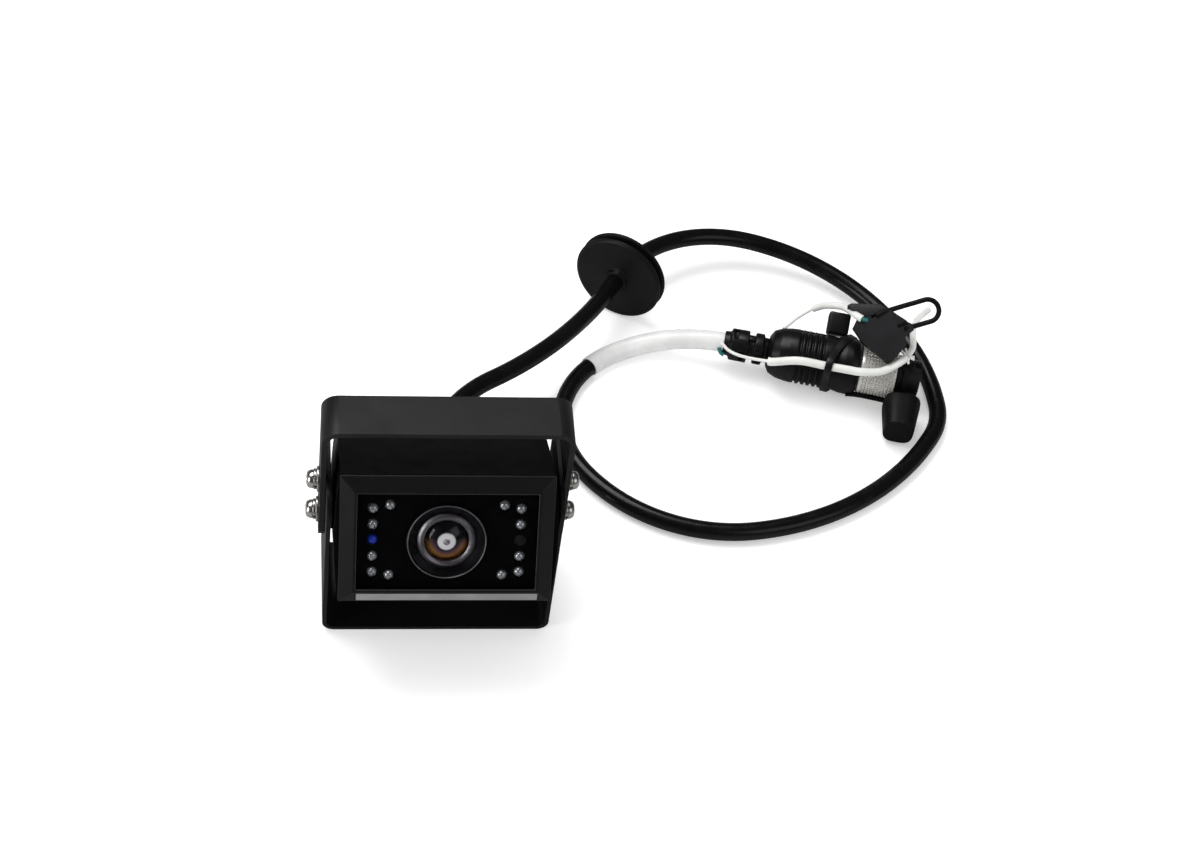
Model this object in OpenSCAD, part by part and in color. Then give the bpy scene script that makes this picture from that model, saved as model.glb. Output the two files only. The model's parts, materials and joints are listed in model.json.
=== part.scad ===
/* [Camera body] */
// Width of the camera body over its bezel
body_w = 68.2; // [66:0.1:68.4]
// Height of the camera body
body_h = 43.3; // [42:0.1:44]
// Depth from the bezel crown to the back of the rear cover
body_d = 50; // [48:0.5:52]
// Bulge of each side wall beyond the bezel
side_bulge = 1.6; // [1:0.1:1.7]
// Wall thickness of the body shell
wall = 2.5; // [2:0.1:3]
// Upward tilt of the camera body at rest, in degrees
tilt = 28; // [20:1:35]

/* [Front] */
// Width of the window opening
window_w = 57.7; // [56:0.1:58]
// Height of the window opening
window_h = 33.4; // [32:0.1:34]
// How far the bezel crown stands in front of the bezel rim
crown = 2.3; // [1.5:0.1:2.5]
// Radius of the lens barrel's front ring
lens_ring_r = 12.7; // [12:0.1:13]
// Distance of the outer LED columns from the centre line
led_x = 23.5; // [23:0.1:24]
// Vertical pitch of the LEDs
led_pitch = 5.5; // [5:0.1:5.8]

/* [Mounting cradle] */
// Outside width of the cradle
cradle_w = 76; // [75.8:0.1:76.4]
// Depth of the cradle's base, front to back
cradle_d = 36; // [34:1:38]
// Sheet thickness of the cradle
cradle_t = 1.5; // [1.4:0.1:1.6]
// Height of the cradle's arms
cradle_h = 66.4; // [64:0.1:68]
// Height of the pivot axis above the base
pivot_z = 42.3; // [42:0.1:44]
// Spacing of the base bolts across the cradle
base_pitch_x = 44; // [40:1:48]
// Radius of the base bolt holes
base_hole_r = 2.25; // [2:0.05:2.5]

/* [Over-arm strap] */
// Outside width of the strap
strap_w = 80; // [80:0.1:80.6]
// Width of the strip that the strap is bent from
strap_d = 16; // [14:0.5:18]
// Height of the strap's top face above the base
strap_h = 89.5; // [88:0.5:92]
// Distance from the pivot screws up to the lock screws
lock_rise = 15.4; // [14:0.2:17]

/* [Cable] */
// Radius of the cable
cable_r = 3.2; // [3:0.1:3.3]
// Radius of the bend that levels the cable just behind the plug
plug_bend_r = 50; // [48:1:60]
// Roll of the last bend, which lifts the cable to the plug
lift_roll = 23.4; // [23.4:0.1:24.4]
// Radius of the wall grommet
grommet_r = 17; // [15:0.5:17]

/* [Plug] */
// Radius of the moulded grip
grip_r = 10; // [9.6:0.1:10]
// Length of the moulded grip
grip_l = 34; // [32:1:36]
// Radius of the coupling ring
ring_r = 9.2; // [9:0.1:9.4]
// Length of the coupling ring
ring_l = 13.6; // [12:0.2:14]

/* [Hidden] */
$fn = 64;

e = 0.01; // overrun of a cut past its face
trim = 0.1; // how far each swept run stops short of its end
joint_l = 1.2; // length of the piece that joins two swept runs
joint_grow = 0.04; // how much wider than the cable that piece is
fit_gap = 0.05; // clearance of parts that turn or slide on each other
crown_y = -32;
rim_y = crown_y + crown;
rim_t = 0.8;
gasket_y = rim_y + rim_t;
shell_y = gasket_y + 0.5;
back_y = crown_y + body_d;
cover_t = 2;
cover_y = back_y - cover_t;
rear_gasket_t = 0.6;
shell_end_y = cover_y - rear_gasket_t;
body_mid_z = 2.5; // height of the body's middle above the pivot
window_z = 2.2; // height of the window's middle above the pivot
lens_z = 1.5; // height of the lens axis above the pivot
cavity_w = body_w - 2 * wall;
cavity_h = body_h - 2 * wall;
column_w = 5.5; // square screw columns in the cavity's corners
glass_y = crown_y + 0.7;
glass_t = 1.2;
glass_w = window_w + 2;
glass_h = window_h + 2;
mask_y = -28.6;
mask_t = 0.8;
led_r = 1.9;
board_t = 1.4;
led_board_y = -26.2;
sensor_board_y = -8;
main_board_y = 2;
post_x = 20;
post_z = 14;
post_r = 2.2;
boss_x = body_w / 2 + side_bulge + 0.1;
screw_r = 2;
head_r = 3.5;
arm_x = strap_w / 2;
strap_t = (strap_w - cradle_w) / 2 - 0.1;
lock_z = pivot_z + lock_rise;
flat_t = 0.8;
spring_t = 1;
head_t = 2.4;
gland_z = 2.5;
gland_end_y = 31;
tail_end_y = 33.4;
tail_gap = 0.6;

// --- cable route -------------------------------------------------------------------
// Each entry is [bend radius, angle], left positive, or [0, length] for a straight
lead_run = [[14, -19], [58, -36], [167, 23], [0, 14], [51, -69], [77, -15], [77, -64]];
grommet_after = 3;
floor_run = [[27, -33], [100, -50], [61, -63], [39, -91]];
last_r = 37;
last_angle = 49;
start_r = 20;
start_y = tail_end_y + tail_gap;

function step(s, p) = s[0] == 0
    ? [p[0] + s[1] * cos(p[2]), p[1] + s[1] * sin(p[2]), p[2]]
    : [p[0] + sign(s[1]) * s[0] * (sin(p[2] + s[1]) - sin(p[2])),
       p[1] - sign(s[1]) * s[0] * (cos(p[2] + s[1]) - cos(p[2])),
       p[2] + s[1]];
function route_end(run, n, p = [0, 0, 0], i = 0) =
    i == n ? p : route_end(run, n, step(run[i], p), i + 1);

lead_y = start_y * cos(tilt) + gland_z * sin(tilt) + start_r * sin(tilt);
lead_z = pivot_z - start_y * sin(tilt) + gland_z * cos(tilt) - start_r * (1 - cos(tilt));
lead_end = route_end(lead_run, len(lead_run));
lead_reach = -lead_end[1];
lead_slope = asin((lead_z - cable_r) / lead_reach);
floor_x = lead_reach * cos(lead_slope);
floor_y = lead_y + lead_end[0];
floor_end = route_end(floor_run, len(floor_run), [floor_x, floor_y, -90]);
lift_slope = asin(sin(last_angle) * sin(lift_roll));
lift_turn = atan2(sin(last_angle) * cos(lift_roll), cos(last_angle));
lift_az = floor_end[2] - lift_turn;
lift_ahead = last_r * sin(last_angle);
lift_side = last_r * (1 - cos(last_angle));
lift_x = floor_end[0] + lift_ahead * cos(floor_end[2])
    + lift_side * cos(lift_roll) * sin(floor_end[2]);
lift_y = floor_end[1] + lift_ahead * sin(floor_end[2])
    - lift_side * cos(lift_roll) * cos(floor_end[2]);
lift_z = cable_r + lift_side * sin(lift_roll);
plug_x = lift_x + plug_bend_r * sin(lift_slope) * cos(lift_az);
plug_y = lift_y + plug_bend_r * sin(lift_slope) * sin(lift_az);
plug_z = lift_z + plug_bend_r * (1 - cos(lift_slope));

boot_l = 18;
grip_x = 16.5;
ring_x = grip_x + grip_l + 0.2;
nose_end_x = ring_x + ring_l + 9;
nose_r = 7;
wire_r = 1.2;
flare = 0.5; // how far the grip swells just behind the coupling ring
wire_y = -9;
wire_z = 8.1;
cord_r = 1;
sleeve_bore_r = cable_r + 0.12;
sleeve_r = cable_r + 0.5;
cable_bore_r = cable_r + 0.08;

// --- helpers -----------------------------------------------------------------------
module in_body() {
    translate([0, 0, pivot_z]) rotate([-tilt, 0, 0]) children();
}

module at_plug() {
    translate([plug_x, plug_y, plug_z]) rotate([0, 0, lift_az]) children();
}

// A round bar along +Y from y0 to y1
module y_bar(r, y0, y1, x = 0, z = 0) {
    translate([x, y0, z]) rotate([-90, 0, 0]) cylinder(r = r, h = y1 - y0);
}

// A round bar along +X from x0 to x1
module x_bar(r, x0, x1, y = 0, z = 0) {
    translate([x0, y, z]) rotate([0, 90, 0]) cylinder(r = r, h = x1 - x0);
}

// A block centred on x and z, from y0 to y1
module y_block(w, h, y0, y1, z = 0) {
    translate([-w / 2, y0, z - h / 2]) cube([w, y1 - y0, h]);
}

module four_corners(x, z, mid = 0) {
    for (sx = [-1, 1])
        for (sz = [-1, 1])
            translate([sx * x, 0, mid + sz * z])
                children();
}

// Sweeps the 2-D children along one bend that starts at the origin heading +X.
// Each end stops short by trim, and a joint piece bridges the gap between two runs.
module bend(r, angle) {
    side = sign(angle);
    short = trim / r * 180 / PI;
    translate([0, side * r, 0])
        rotate([0, 0, (side > 0 ? -90 : 90 + angle) + short])
            rotate_extrude(angle = abs(angle) - 2 * short) translate([r, 0]) children();
}

module straight(l) {
    translate([trim, 0, 0]) rotate([90, 0, 90]) linear_extrude(l - 2 * trim) children();
}

module joint(r_out, r_in = 0) {
    difference() {
        x_bar(r_out, -joint_l / 2, joint_l / 2);
        if (r_in > 0) x_bar(r_in, -joint_l, joint_l);
    }
}

module cable_joint() { joint(cable_r + joint_grow); }

module cable_route(run, i = 0) {
    if (i < len(run)) {
        if (run[i][0] == 0) straight(run[i][1]) circle(cable_r);
        else bend(run[i][0], run[i][1]) circle(cable_r);
        p = step(run[i], [0, 0, 0]);
        translate([p[0], p[1], 0]) rotate([0, 0, p[2]]) {
            cable_joint();
            cable_route(run, i + 1);
        }
    }
}

module rounded_rect(w, h, r) {
    square([w - 2 * r, h], center = true);
    square([w, h - 2 * r], center = true);
    for (sx = [-1, 1])
        for (sy = [-1, 1])
            translate([sx * (w / 2 - r), sy * (h / 2 - r)]) circle(r);
}

// --- cradle and strap --------------------------------------------------------------
cradle_bend = 4;

module cradle_arm(side) {
    inner = cradle_w / 2 - cradle_t;
    x0 = side > 0 ? inner : -cradle_w / 2;
    tip_r = 7;
    difference() {
        translate([x0, 0, 0]) rotate([90, 0, 90]) linear_extrude(cradle_t)
            union() {
                translate([-cradle_d / 2, cradle_bend])
                    square([cradle_d, cradle_h - cradle_bend - tip_r]);
                translate([-cradle_d / 2 + tip_r, cradle_h - 2 * tip_r])
                    square([cradle_d - 2 * tip_r, 2 * tip_r]);
                for (s = [-1, 1])
                    translate([s * (cradle_d / 2 - tip_r), cradle_h - tip_r]) circle(tip_r);
            }
        for (z = [pivot_z, lock_z])
            x_bar(screw_r + fit_gap, x0 - 1, x0 + cradle_t + 1, 0, z);
    }
}

module mounting_cradle() {
    flat_w = cradle_w - 2 * cradle_bend;
    color("#1b1b1d") union() {
        difference() {
            translate([-flat_w / 2, -cradle_d / 2, 0]) cube([flat_w, cradle_d, cradle_t]);
            for (sx = [-1, 1])
                translate([sx * base_pitch_x / 2, 0, -1])
                    cylinder(r = base_hole_r, h = cradle_t + 2);
        }
        for (side = [-1, 1]) {
            cradle_arm(side);
            translate([side * flat_w / 2, cradle_d / 2, cradle_bend]) rotate([90, 0, 0])
                rotate([0, 0, side > 0 ? -90 : 180])
                    rotate_extrude(angle = 90)
                        translate([cradle_bend - cradle_t, 0]) square([cradle_t, cradle_d]);
        }
    }
}

module over_strap() {
    bend_r = 5.4;
    flat_w = strap_w - 2 * bend_r;
    color("#343434") union() {
        translate([-flat_w / 2, -strap_d / 2, strap_h - strap_t])
            cube([flat_w, strap_d, strap_t]);
        for (side = [-1, 1]) {
            x0 = side > 0 ? arm_x - strap_t : -arm_x;
            translate([side * flat_w / 2, strap_d / 2, strap_h - bend_r]) rotate([90, 0, 0])
                rotate([0, 0, side > 0 ? 0 : 90])
                    rotate_extrude(angle = 90)
                        translate([bend_r - strap_t, 0]) square([strap_t, strap_d]);
            difference() {
                translate([x0, 0, 0]) rotate([90, 0, 90]) linear_extrude(strap_t)
                    union() {
                        translate([-strap_d / 2, pivot_z])
                            square([strap_d, strap_h - bend_r - pivot_z]);
                        translate([0, pivot_z]) circle(strap_d / 2);
                    }
                for (z = [pivot_z, lock_z])
                    x_bar(screw_r + fit_gap, x0 - 1, x0 + strap_t + 1, 0, z);
            }
        }
    }
}

module side_screw(z, tip_x) {
    washer_x = arm_x + flat_t + spring_t;
    for (side = [-1, 1])
        scale_x(side) union() {
            x_bar(screw_r, tip_x, washer_x + e, 0, z);
            difference() {
                x_bar(head_r, washer_x, washer_x + head_t, 0, z);
                for (a = [0, 90])
                    translate([washer_x + head_t, 0, z]) rotate([a, 0, 0])
                        cube([2, 0.8, 4], center = true);
            }
        }
}

module scale_x(side) {
    if (side < 0) mirror([1, 0, 0]) children();
    else children();
}

module side_ring(r_out, r_in, x0, x1, z) {
    for (side = [-1, 1])
        scale_x(side) difference() {
            x_bar(r_out, x0, x1, 0, z);
            x_bar(r_in, x0 - 1, x1 + 1, 0, z);
        }
}

module pivot_screws() { color("#c9c9c6") side_screw(pivot_z, 30.5); }

module lock_screws() { color("#c9c9c6") side_screw(lock_z, cradle_w / 2 - cradle_t); }

module flat_washers() {
    color("#bfbfbd")
        for (z = [pivot_z, lock_z])
            side_ring(4.2, screw_r + 0.1, arm_x, arm_x + flat_t, z);
}

module spring_washers() {
    x0 = arm_x + flat_t;
    split = 0.9;
    color("#adadab")
        for (z = [pivot_z, lock_z])
            for (side = [-1, 1])
                scale_x(side) difference() {
                    x_bar(3.4, x0, x0 + spring_t, 0, z);
                    x_bar(screw_r + 0.1, x0 - 1, x0 + spring_t + 1, 0, z);
                    translate([x0 - 1, -4, z - split / 2]) cube([spring_t + 2, 4, split]);
                }
}

module friction_washers() {
    color("#dcd8cc")
        side_ring(6.5, screw_r + 0.1, boss_x + fit_gap, cradle_w / 2 - cradle_t, pivot_z);
}

// --- camera body -------------------------------------------------------------------
// Outline of the body seen from the front: flat top and bottom, sides bulged as arcs
module body_outline() {
    half_w = body_w / 2;
    arc_r = (pow(body_h / 2, 2) + pow(side_bulge, 2)) / (2 * side_bulge);
    intersection() {
        translate([0, body_mid_z])
            square([body_w + 2 * side_bulge, body_h], center = true);
        translate([arc_r - half_w - side_bulge, body_mid_z]) circle(arc_r, $fn = 180);
        translate([half_w + side_bulge - arc_r, body_mid_z]) circle(arc_r, $fn = 180);
    }
}

module body_shell() {
    column_x = cavity_w / 2 - column_w / 2;
    column_z = cavity_h / 2 - column_w / 2;
    boss_r = 4.6;
    color("#161618") in_body() difference() {
        union() {
            difference() {
                translate([0, shell_end_y, 0]) rotate([90, 0, 0])
                    linear_extrude(shell_end_y - shell_y) body_outline();
                y_block(cavity_w, cavity_h, shell_y - 1, shell_end_y + 1, body_mid_z);
            }
            // screw columns in the four corners
            four_corners(column_x, column_z, body_mid_z)
                translate([-column_w / 2, led_board_y + board_t, -column_w / 2])
                    cube([column_w, shell_end_y - led_board_y - board_t, column_w]);
            // pivot bosses, flat outside and closed inside
            for (side = [-1, 1])
                scale_x(side) {
                    x_bar(6.5, body_w / 2 - 1, boss_x);
                    x_bar(boss_r, 28, body_w / 2 - 1);
                }
        }
        for (side = [-1, 1])
            scale_x(side) x_bar(screw_r + fit_gap, 30, boss_x + 1);
        four_corners(column_x, column_z, body_mid_z) {
            y_bar(1.25, led_board_y + board_t - 1, led_board_y + board_t + 7);
            y_bar(1.3, shell_end_y - 8, shell_end_y + 1);
        }
    }
}

// Four flat flanks that meet in mitres and rise to a flat crown round the window
module bezel_frame() {
    inset_x = (body_w - window_w) / 2 - 0.7;
    top = body_mid_z + body_h / 2;
    bottom = body_mid_z - body_h / 2;
    half_w = body_w / 2;
    top_in = top - (window_z + window_h / 2) - 0.7;
    bottom_in = (window_z - window_h / 2) - bottom - 0.7;
    color("#1d1d1f") in_body() difference() {
        intersection() {
            translate([-half_w - 1, 0, 0]) rotate([90, 0, 90]) linear_extrude(body_w + 2)
                polygon([
                    [gasket_y, bottom], [rim_y, bottom], [crown_y, bottom + bottom_in],
                    [crown_y, top - top_in], [rim_y, top], [gasket_y, top]
                ]);
            translate([0, 0, bottom - 1]) linear_extrude(body_h + 2)
                polygon([
                    [-half_w, gasket_y], [-half_w, rim_y], [inset_x - half_w, crown_y],
                    [half_w - inset_x, crown_y], [half_w, rim_y], [half_w, gasket_y]
                ]);
        }
        y_block(window_w, window_h, crown_y - 1, gasket_y + 1, window_z);
        y_block(glass_w + 0.2, glass_h + 0.2, glass_y - fit_gap, gasket_y + 1, window_z);
        sill_plate(fit_gap);
    }
}

// The pale strip is let into the lower flank of the bezel
module sill_plate(grow = 0) {
    flank_in = (window_z - window_h / 2) - (body_mid_z - body_h / 2) - 0.7;
    slope = atan2(crown, flank_in);
    strip_h = 3.0;
    strip_t = 0.4;
    below_crown = 0.8;
    strip_w = window_w - 0.4;
    translate([0, crown_y, window_z - window_h / 2 - 0.7]) rotate([slope, 0, 0])
        translate([-strip_w / 2 - grow, -e - grow, -strip_h - below_crown - grow])
            cube([strip_w + 2 * grow, strip_t + e + 2 * grow, strip_h + 2 * grow]);
}

module sill_strip() { color("#8a8788") in_body() sill_plate(); }

module bezel_gasket() {
    color("#0c0c0c") in_body() difference() {
        y_block(body_w - 1, body_h - 1, gasket_y, shell_y, body_mid_z);
        y_block(glass_w + 0.3, glass_h + 0.3, gasket_y - 1, shell_y + 1, window_z);
    }
}

module window_glass() {
    color("#20202a", 0.35) in_body()
        y_block(glass_w, glass_h, glass_y, glass_y + glass_t, window_z);
}

module led_places() {
    for (sx = [-1, 1]) {
        for (k = [-2, -1, 1, 2])
            translate([sx * led_x, 0, lens_z + k * led_pitch]) children();
        for (sz = [-1, 1])
            translate([sx * (led_x - 5.4), 0, lens_z + sz * (2 * led_pitch + 1.1)])
                children();
    }
}

module mask_panel() {
    color("#0a090b") in_body() difference() {
        y_block(glass_w, glass_h, mask_y, mask_y + mask_t, window_z);
        y_bar(lens_ring_r + 0.2, mask_y - 1, mask_y + mask_t + 1, 0, lens_z);
        led_places() y_bar(led_r + 0.2, mask_y - 1, mask_y + mask_t + 1);
        for (sx = [-1, 1])
            y_bar(led_r + 0.2, mask_y - 1, mask_y + mask_t + 1, sx * led_x, lens_z);
    }
}

// A domed emitter with a hemispherical tip and a flat base
module dome(tip_y, base_y) {
    difference() {
        union() {
            translate([0, tip_y + led_r, 0]) sphere(led_r);
            y_bar(led_r, tip_y + led_r, base_y + 1);
        }
        y_bar(led_r + 1, base_y, base_y + 5);
    }
}

module ir_leds() { color("#cfd2d6") in_body() led_places() dome(mask_y, led_board_y); }

module light_sensor() {
    color("#1d3fb0") in_body() translate([-led_x, 0, lens_z]) dome(mask_y, led_board_y);
}

module daynight_sensor() {
    color("#141414") in_body() translate([led_x, 0, lens_z])
        y_bar(led_r, mask_y + 0.3, led_board_y);
}

module led_board() {
    column_x = cavity_w / 2 - column_w / 2;
    column_z = cavity_h / 2 - column_w / 2;
    color("#14451f") in_body() difference() {
        y_block(cavity_w - 0.6, cavity_h - 0.6, led_board_y, led_board_y + board_t,
            body_mid_z);
        y_bar(lens_ring_r + 0.4, led_board_y - 1, led_board_y + board_t + 1, 0, lens_z);
        four_corners(column_x, column_z, body_mid_z)
            y_bar(1.4, led_board_y - 1, led_board_y + board_t + 1);
    }
}

module board_screws() {
    column_x = cavity_w / 2 - column_w / 2;
    column_z = cavity_h / 2 - column_w / 2;
    color("#b9b9b7") in_body() four_corners(column_x, column_z, body_mid_z) {
        y_bar(2.1, led_board_y - 1.1, led_board_y);
        y_bar(1.2, led_board_y - e, led_board_y + board_t + 5);
    }
}

// --- lens --------------------------------------------------------------------------
barrel_y = crown_y + 2.05;
barrel_neck_r = 8;

// A turned ring about the lens axis from a profile of [radius, y] points
module lens_turned() {
    translate([0, 0, lens_z]) rotate([-90, 0, 0]) rotate_extrude() children();
}

module lens_barrel() {
    color("#151416") in_body() lens_turned() polygon([
        [9.4, barrel_y + 1.6], [11.9, barrel_y + 0.5], [12.1, barrel_y],
        [lens_ring_r, barrel_y], [lens_ring_r, barrel_y + 5.5],
        [barrel_neck_r, barrel_y + 7.5], [barrel_neck_r, -11],
        [5.3, -11], [5.3, -17], [7.2, -18], [7.2, barrel_y + 5], [9.4, barrel_y + 5]
    ]);
}

module retaining_ring() {
    color("#8d8d90") in_body() lens_turned() polygon([
        [7.15, barrel_y + 1.1], [8.3, barrel_y + 0.5], [9.35, barrel_y + 1.3],
        [9.35, barrel_y + 5], [7.15, barrel_y + 5]
    ]);
}

module front_lens() {
    dome_r = 9.5;
    lens_r = 7.1;
    rise = dome_r - sqrt(dome_r * dome_r - lens_r * lens_r);
    color("#2a1a20", 0.6) in_body() translate([0, barrel_y + 0.1, lens_z])
        rotate([-90, 0, 0]) intersection() {
            translate([0, 0, dome_r]) sphere(dome_r);
            cylinder(r = lens_r, h = rise + 1.4);
        }
}

module iris_ring() {
    color("#6b6b70") in_body() lens_turned()
        translate([3.2, barrel_y + 5.2]) square([3.9, 1]);
}

module rear_lens() {
    color("#3a3550", 0.6) in_body() y_bar(5.25, -16.9, -12, 0, lens_z);
}

module lens_holder() {
    side = 20;
    color("#101012") in_body() difference() {
        y_block(side, side, -16.5, sensor_board_y, lens_z);
        y_bar(barrel_neck_r + 0.05, -17.5, -10.8, 0, lens_z);
        y_block(13, 13, -11.5, sensor_board_y + 1, lens_z);
    }
}

module image_sensor() {
    color("#3c4a66") in_body() y_block(9, 8, sensor_board_y - 1.6, sensor_board_y, lens_z);
}

module stack_board(y0) {
    difference() {
        y_block(46, 33, y0, y0 + board_t, lens_z);
        four_corners(post_x, post_z, lens_z) y_bar(1.1, y0 - 1, y0 + board_t + 1);
    }
}

module sensor_board() { color("#14451f") in_body() stack_board(sensor_board_y); }

module main_board() { color("#14451f") in_body() stack_board(main_board_y); }

module front_standoffs() {
    color("#b08d3c") in_body() four_corners(post_x, post_z, lens_z) difference() {
        y_bar(post_r, led_board_y + board_t, sensor_board_y);
        y_bar(1.05, sensor_board_y - 6, sensor_board_y + 1);
    }
}

module rear_standoffs() {
    color("#b08d3c") in_body() four_corners(post_x, post_z, lens_z) {
        y_bar(post_r, sensor_board_y + board_t, main_board_y);
        y_bar(1, sensor_board_y - 5, sensor_board_y + board_t + e);
        y_bar(1, main_board_y - e, main_board_y + board_t + 0.6);
    }
}

module wire_header() {
    color("#e6e0d0") in_body()
        y_block(9, 7, main_board_y + board_t, main_board_y + board_t + 5, gland_z);
}

module lead_wires() {
    colour = ["#b01c1c", "#e0c020", "#e8e8e8", "#202020"];
    in_body()
        for (k = [0:3])
            color(colour[k]) y_bar(0.6, main_board_y + board_t + 5, 10,
                1.5 * cos(45 + 90 * k), gland_z + 1.5 * sin(45 + 90 * k));
}

// --- back of the camera ------------------------------------------------------------
module rear_gasket() {
    color("#0c0c0c") in_body() difference() {
        y_block(body_w - 1, body_h - 1, shell_end_y, cover_y, body_mid_z);
        y_block(cavity_w - 10, cavity_h - 2, shell_end_y - 1, cover_y + 1, body_mid_z);
        cover_holes(shell_end_y - 1, cover_y + 1, 1.5);
    }
}

module cover_holes(y0, y1, r) {
    four_corners(cavity_w / 2 - column_w / 2, cavity_h / 2 - column_w / 2, body_mid_z)
        y_bar(r, y0, y1);
}

module rear_cover() {
    color("#1b1b1d") in_body() difference() {
        translate([0, back_y, 0]) rotate([90, 0, 0]) linear_extrude(cover_t) body_outline();
        y_bar(6.05, cover_y - 1, back_y + 1, 0, gland_z);
        cover_holes(cover_y - 1, back_y + 1, 1.5);
    }
}

module rear_cover_screws() {
    color("#b9b9b7") in_body()
        four_corners(cavity_w / 2 - column_w / 2, cavity_h / 2 - column_w / 2, body_mid_z)
            difference() {
                union() {
                    y_bar(2.5, back_y, back_y + 1.5);
                    y_bar(1.25, shell_end_y - 6, back_y + e);
                }
                for (a = [0, 90])
                    rotate([0, a, 0]) translate([0, back_y + 1.5, 0])
                        cube([0.6, 1.6, 3], center = true);
            }
}

module hex_bar(r, y0, y1) {
    translate([0, y0, gland_z]) rotate([-90, 0, 0]) cylinder(r = r, h = y1 - y0, $fn = 6);
}

module gland_body() {
    color("#19191b") in_body() difference() {
        union() {
            hex_bar(8.6, back_y, back_y + 3);
            y_bar(6, 10.5, back_y + e, 0, gland_z);
            y_bar(6.2, back_y + 3 - e, back_y + 8, 0, gland_z);
        }
        y_bar(cable_r + 0.1, 9, back_y + 9, 0, gland_z);
    }
}

module gland_locknut() {
    color("#232325") in_body() difference() {
        hex_bar(8.4, 12, cover_y);
        y_bar(6.05, 11, cover_y + 1, 0, gland_z);
    }
}

module gland_seal() {
    color("#0e0e0e") in_body() difference() {
        y_bar(6.2, back_y + 8, gland_end_y - 2, 0, gland_z);
        y_bar(cable_r + 0.02, back_y + 7, gland_end_y, 0, gland_z);
    }
}

module gland_cap() {
    color("#19191b") in_body() difference() {
        intersection() {
            hex_bar(8.8, back_y + 3.1, gland_end_y);
            translate([0, gland_end_y - 11, gland_z]) sphere(11.6);
        }
        y_bar(6.3, back_y + 2, gland_end_y - 2, 0, gland_z);
        y_bar(cable_r + 0.15, back_y, gland_end_y + 1, 0, gland_z);
    }
}

module cable_tail() {
    color("#1c1c1e") in_body() y_bar(cable_r, 10, tail_end_y, 0, gland_z);
}

// --- cable -------------------------------------------------------------------------
module on_lead_plane() {
    translate([0, lead_y, lead_z]) rotate([0, lead_slope, 0]) rotate([0, 0, 90]) children();
}

module at_floor_end() {
    translate([floor_end[0], floor_end[1], cable_r]) rotate([0, 0, floor_end[2]]) children();
}

module at_lift_end() {
    translate([lift_x, lift_y, lift_z]) rotate([0, 0, lift_az])
        rotate([0, -lift_slope, 0]) rotate([90, 0, 0]) children();
}

module cable() {
    color("#1c1c1e") union() {
        in_body() translate([0, start_y, gland_z]) rotate([0, 0, 90]) rotate([90, 0, 0])
            bend(start_r, tilt) circle(cable_r);
        on_lead_plane() {
            cable_joint();
            cable_route(lead_run);
        }
        translate([floor_x, floor_y, cable_r]) rotate([0, 0, -90]) cable_route(floor_run);
        at_floor_end() rotate([-lift_roll, 0, 0]) bend(last_r, -last_angle) circle(cable_r);
        at_lift_end() {
            cable_joint();
            bend(plug_bend_r, -lift_slope) circle(cable_r);
        }
        at_plug() {
            cable_joint();
            straight(grip_x + 8) circle(cable_r);
        }
    }
}

module wall_grommet() {
    p = route_end(lead_run, grommet_after);
    middle = lead_run[grommet_after][1] / 2;
    bore_r = cable_bore_r;
    groove_r = grommet_r - 4;
    color("#2a2a2c") on_lead_plane() translate([p[0], p[1], 0]) rotate([0, 0, p[2]])
        translate([middle, 0, 0]) rotate([0, 90, 0]) rotate_extrude() polygon([
            [bore_r, -3.4], [4.6, -3.4], [5.4, -2.9], [grommet_r - 1, -2.6],
            [grommet_r, -1.8], [grommet_r - 0.4, -0.9], [groove_r, -0.8], [groove_r, 1],
            [grommet_r - 0.6, 1.1], [grommet_r, 1.9], [grommet_r - 1.2, 2.7], [6, 3],
            [4.6, 6.8], [bore_r, 6.8]
        ]);
}

module label_sleeve() {
    back_angle = 13;
    color("#e9e9e6") union() {
        at_floor_end() {
            sleeve_joint();
            mirror([1, 0, 0]) bend(floor_run[3][0], -back_angle) sleeve_ring();
            rotate([-lift_roll, 0, 0]) bend(last_r, -last_angle) sleeve_ring();
        }
        at_lift_end() {
            sleeve_joint();
            bend(plug_bend_r, -lift_slope + 3) sleeve_ring();
        }
    }
}

module sleeve_ring() {
    difference() {
        circle(sleeve_r);
        circle(sleeve_bore_r);
    }
}

module sleeve_joint() { joint(sleeve_r + joint_grow / 2, sleeve_bore_r - joint_grow / 2); }

// --- plug --------------------------------------------------------------------------
module plug_turned() {
    rotate([0, 90, 0]) rotate_extrude() children();
}

module strain_boot() {
    bore = cable_bore_r;
    color("#1a1a1a") at_plug() difference() {
        union() {
            plug_turned() polygon([[bore, 0], [4.1, 0], [4.4, grip_x], [bore, grip_x]]);
            for (k = [0:2])
                plug_turned() translate([bore, 0.8 + k * 5.6]) square([1.9 + 0.1 * k, 3.4]);
        }
        // side notches that let the boot flex
        for (k = [0:1])
            for (side = [-1, 1])
                translate([4.3 + k * 5.6, side * 5.2, 0])
                    cube([1.4, 2.6, 12], center = true);
    }
}

module plug_grip() {
    ribs_x = grip_x + 11;
    end_x = grip_x + grip_l;
    bore = cable_bore_r;
    color("#1b1b1c") at_plug() difference() {
        plug_turned() polygon([
            [bore, grip_x], [6.8, grip_x], [9, grip_x + 1.6], [grip_r, grip_x + 4.6],
            [grip_r - 0.2, ribs_x - 1], [grip_r, ribs_x + 10], [grip_r - 0.3, end_x - 9],
            [grip_r + flare, end_x - 5.5], [grip_r + flare, end_x - 2], [9, end_x],
            [nose_r + fit_gap, end_x], [nose_r + fit_gap, grip_x + 14], [bore, grip_x + 12]
        ]);
        for (k = [0:4])
            plug_turned() translate([grip_r - 0.9, ribs_x + k * 2.1]) square([3, 0.9]);
    }
}

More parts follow.
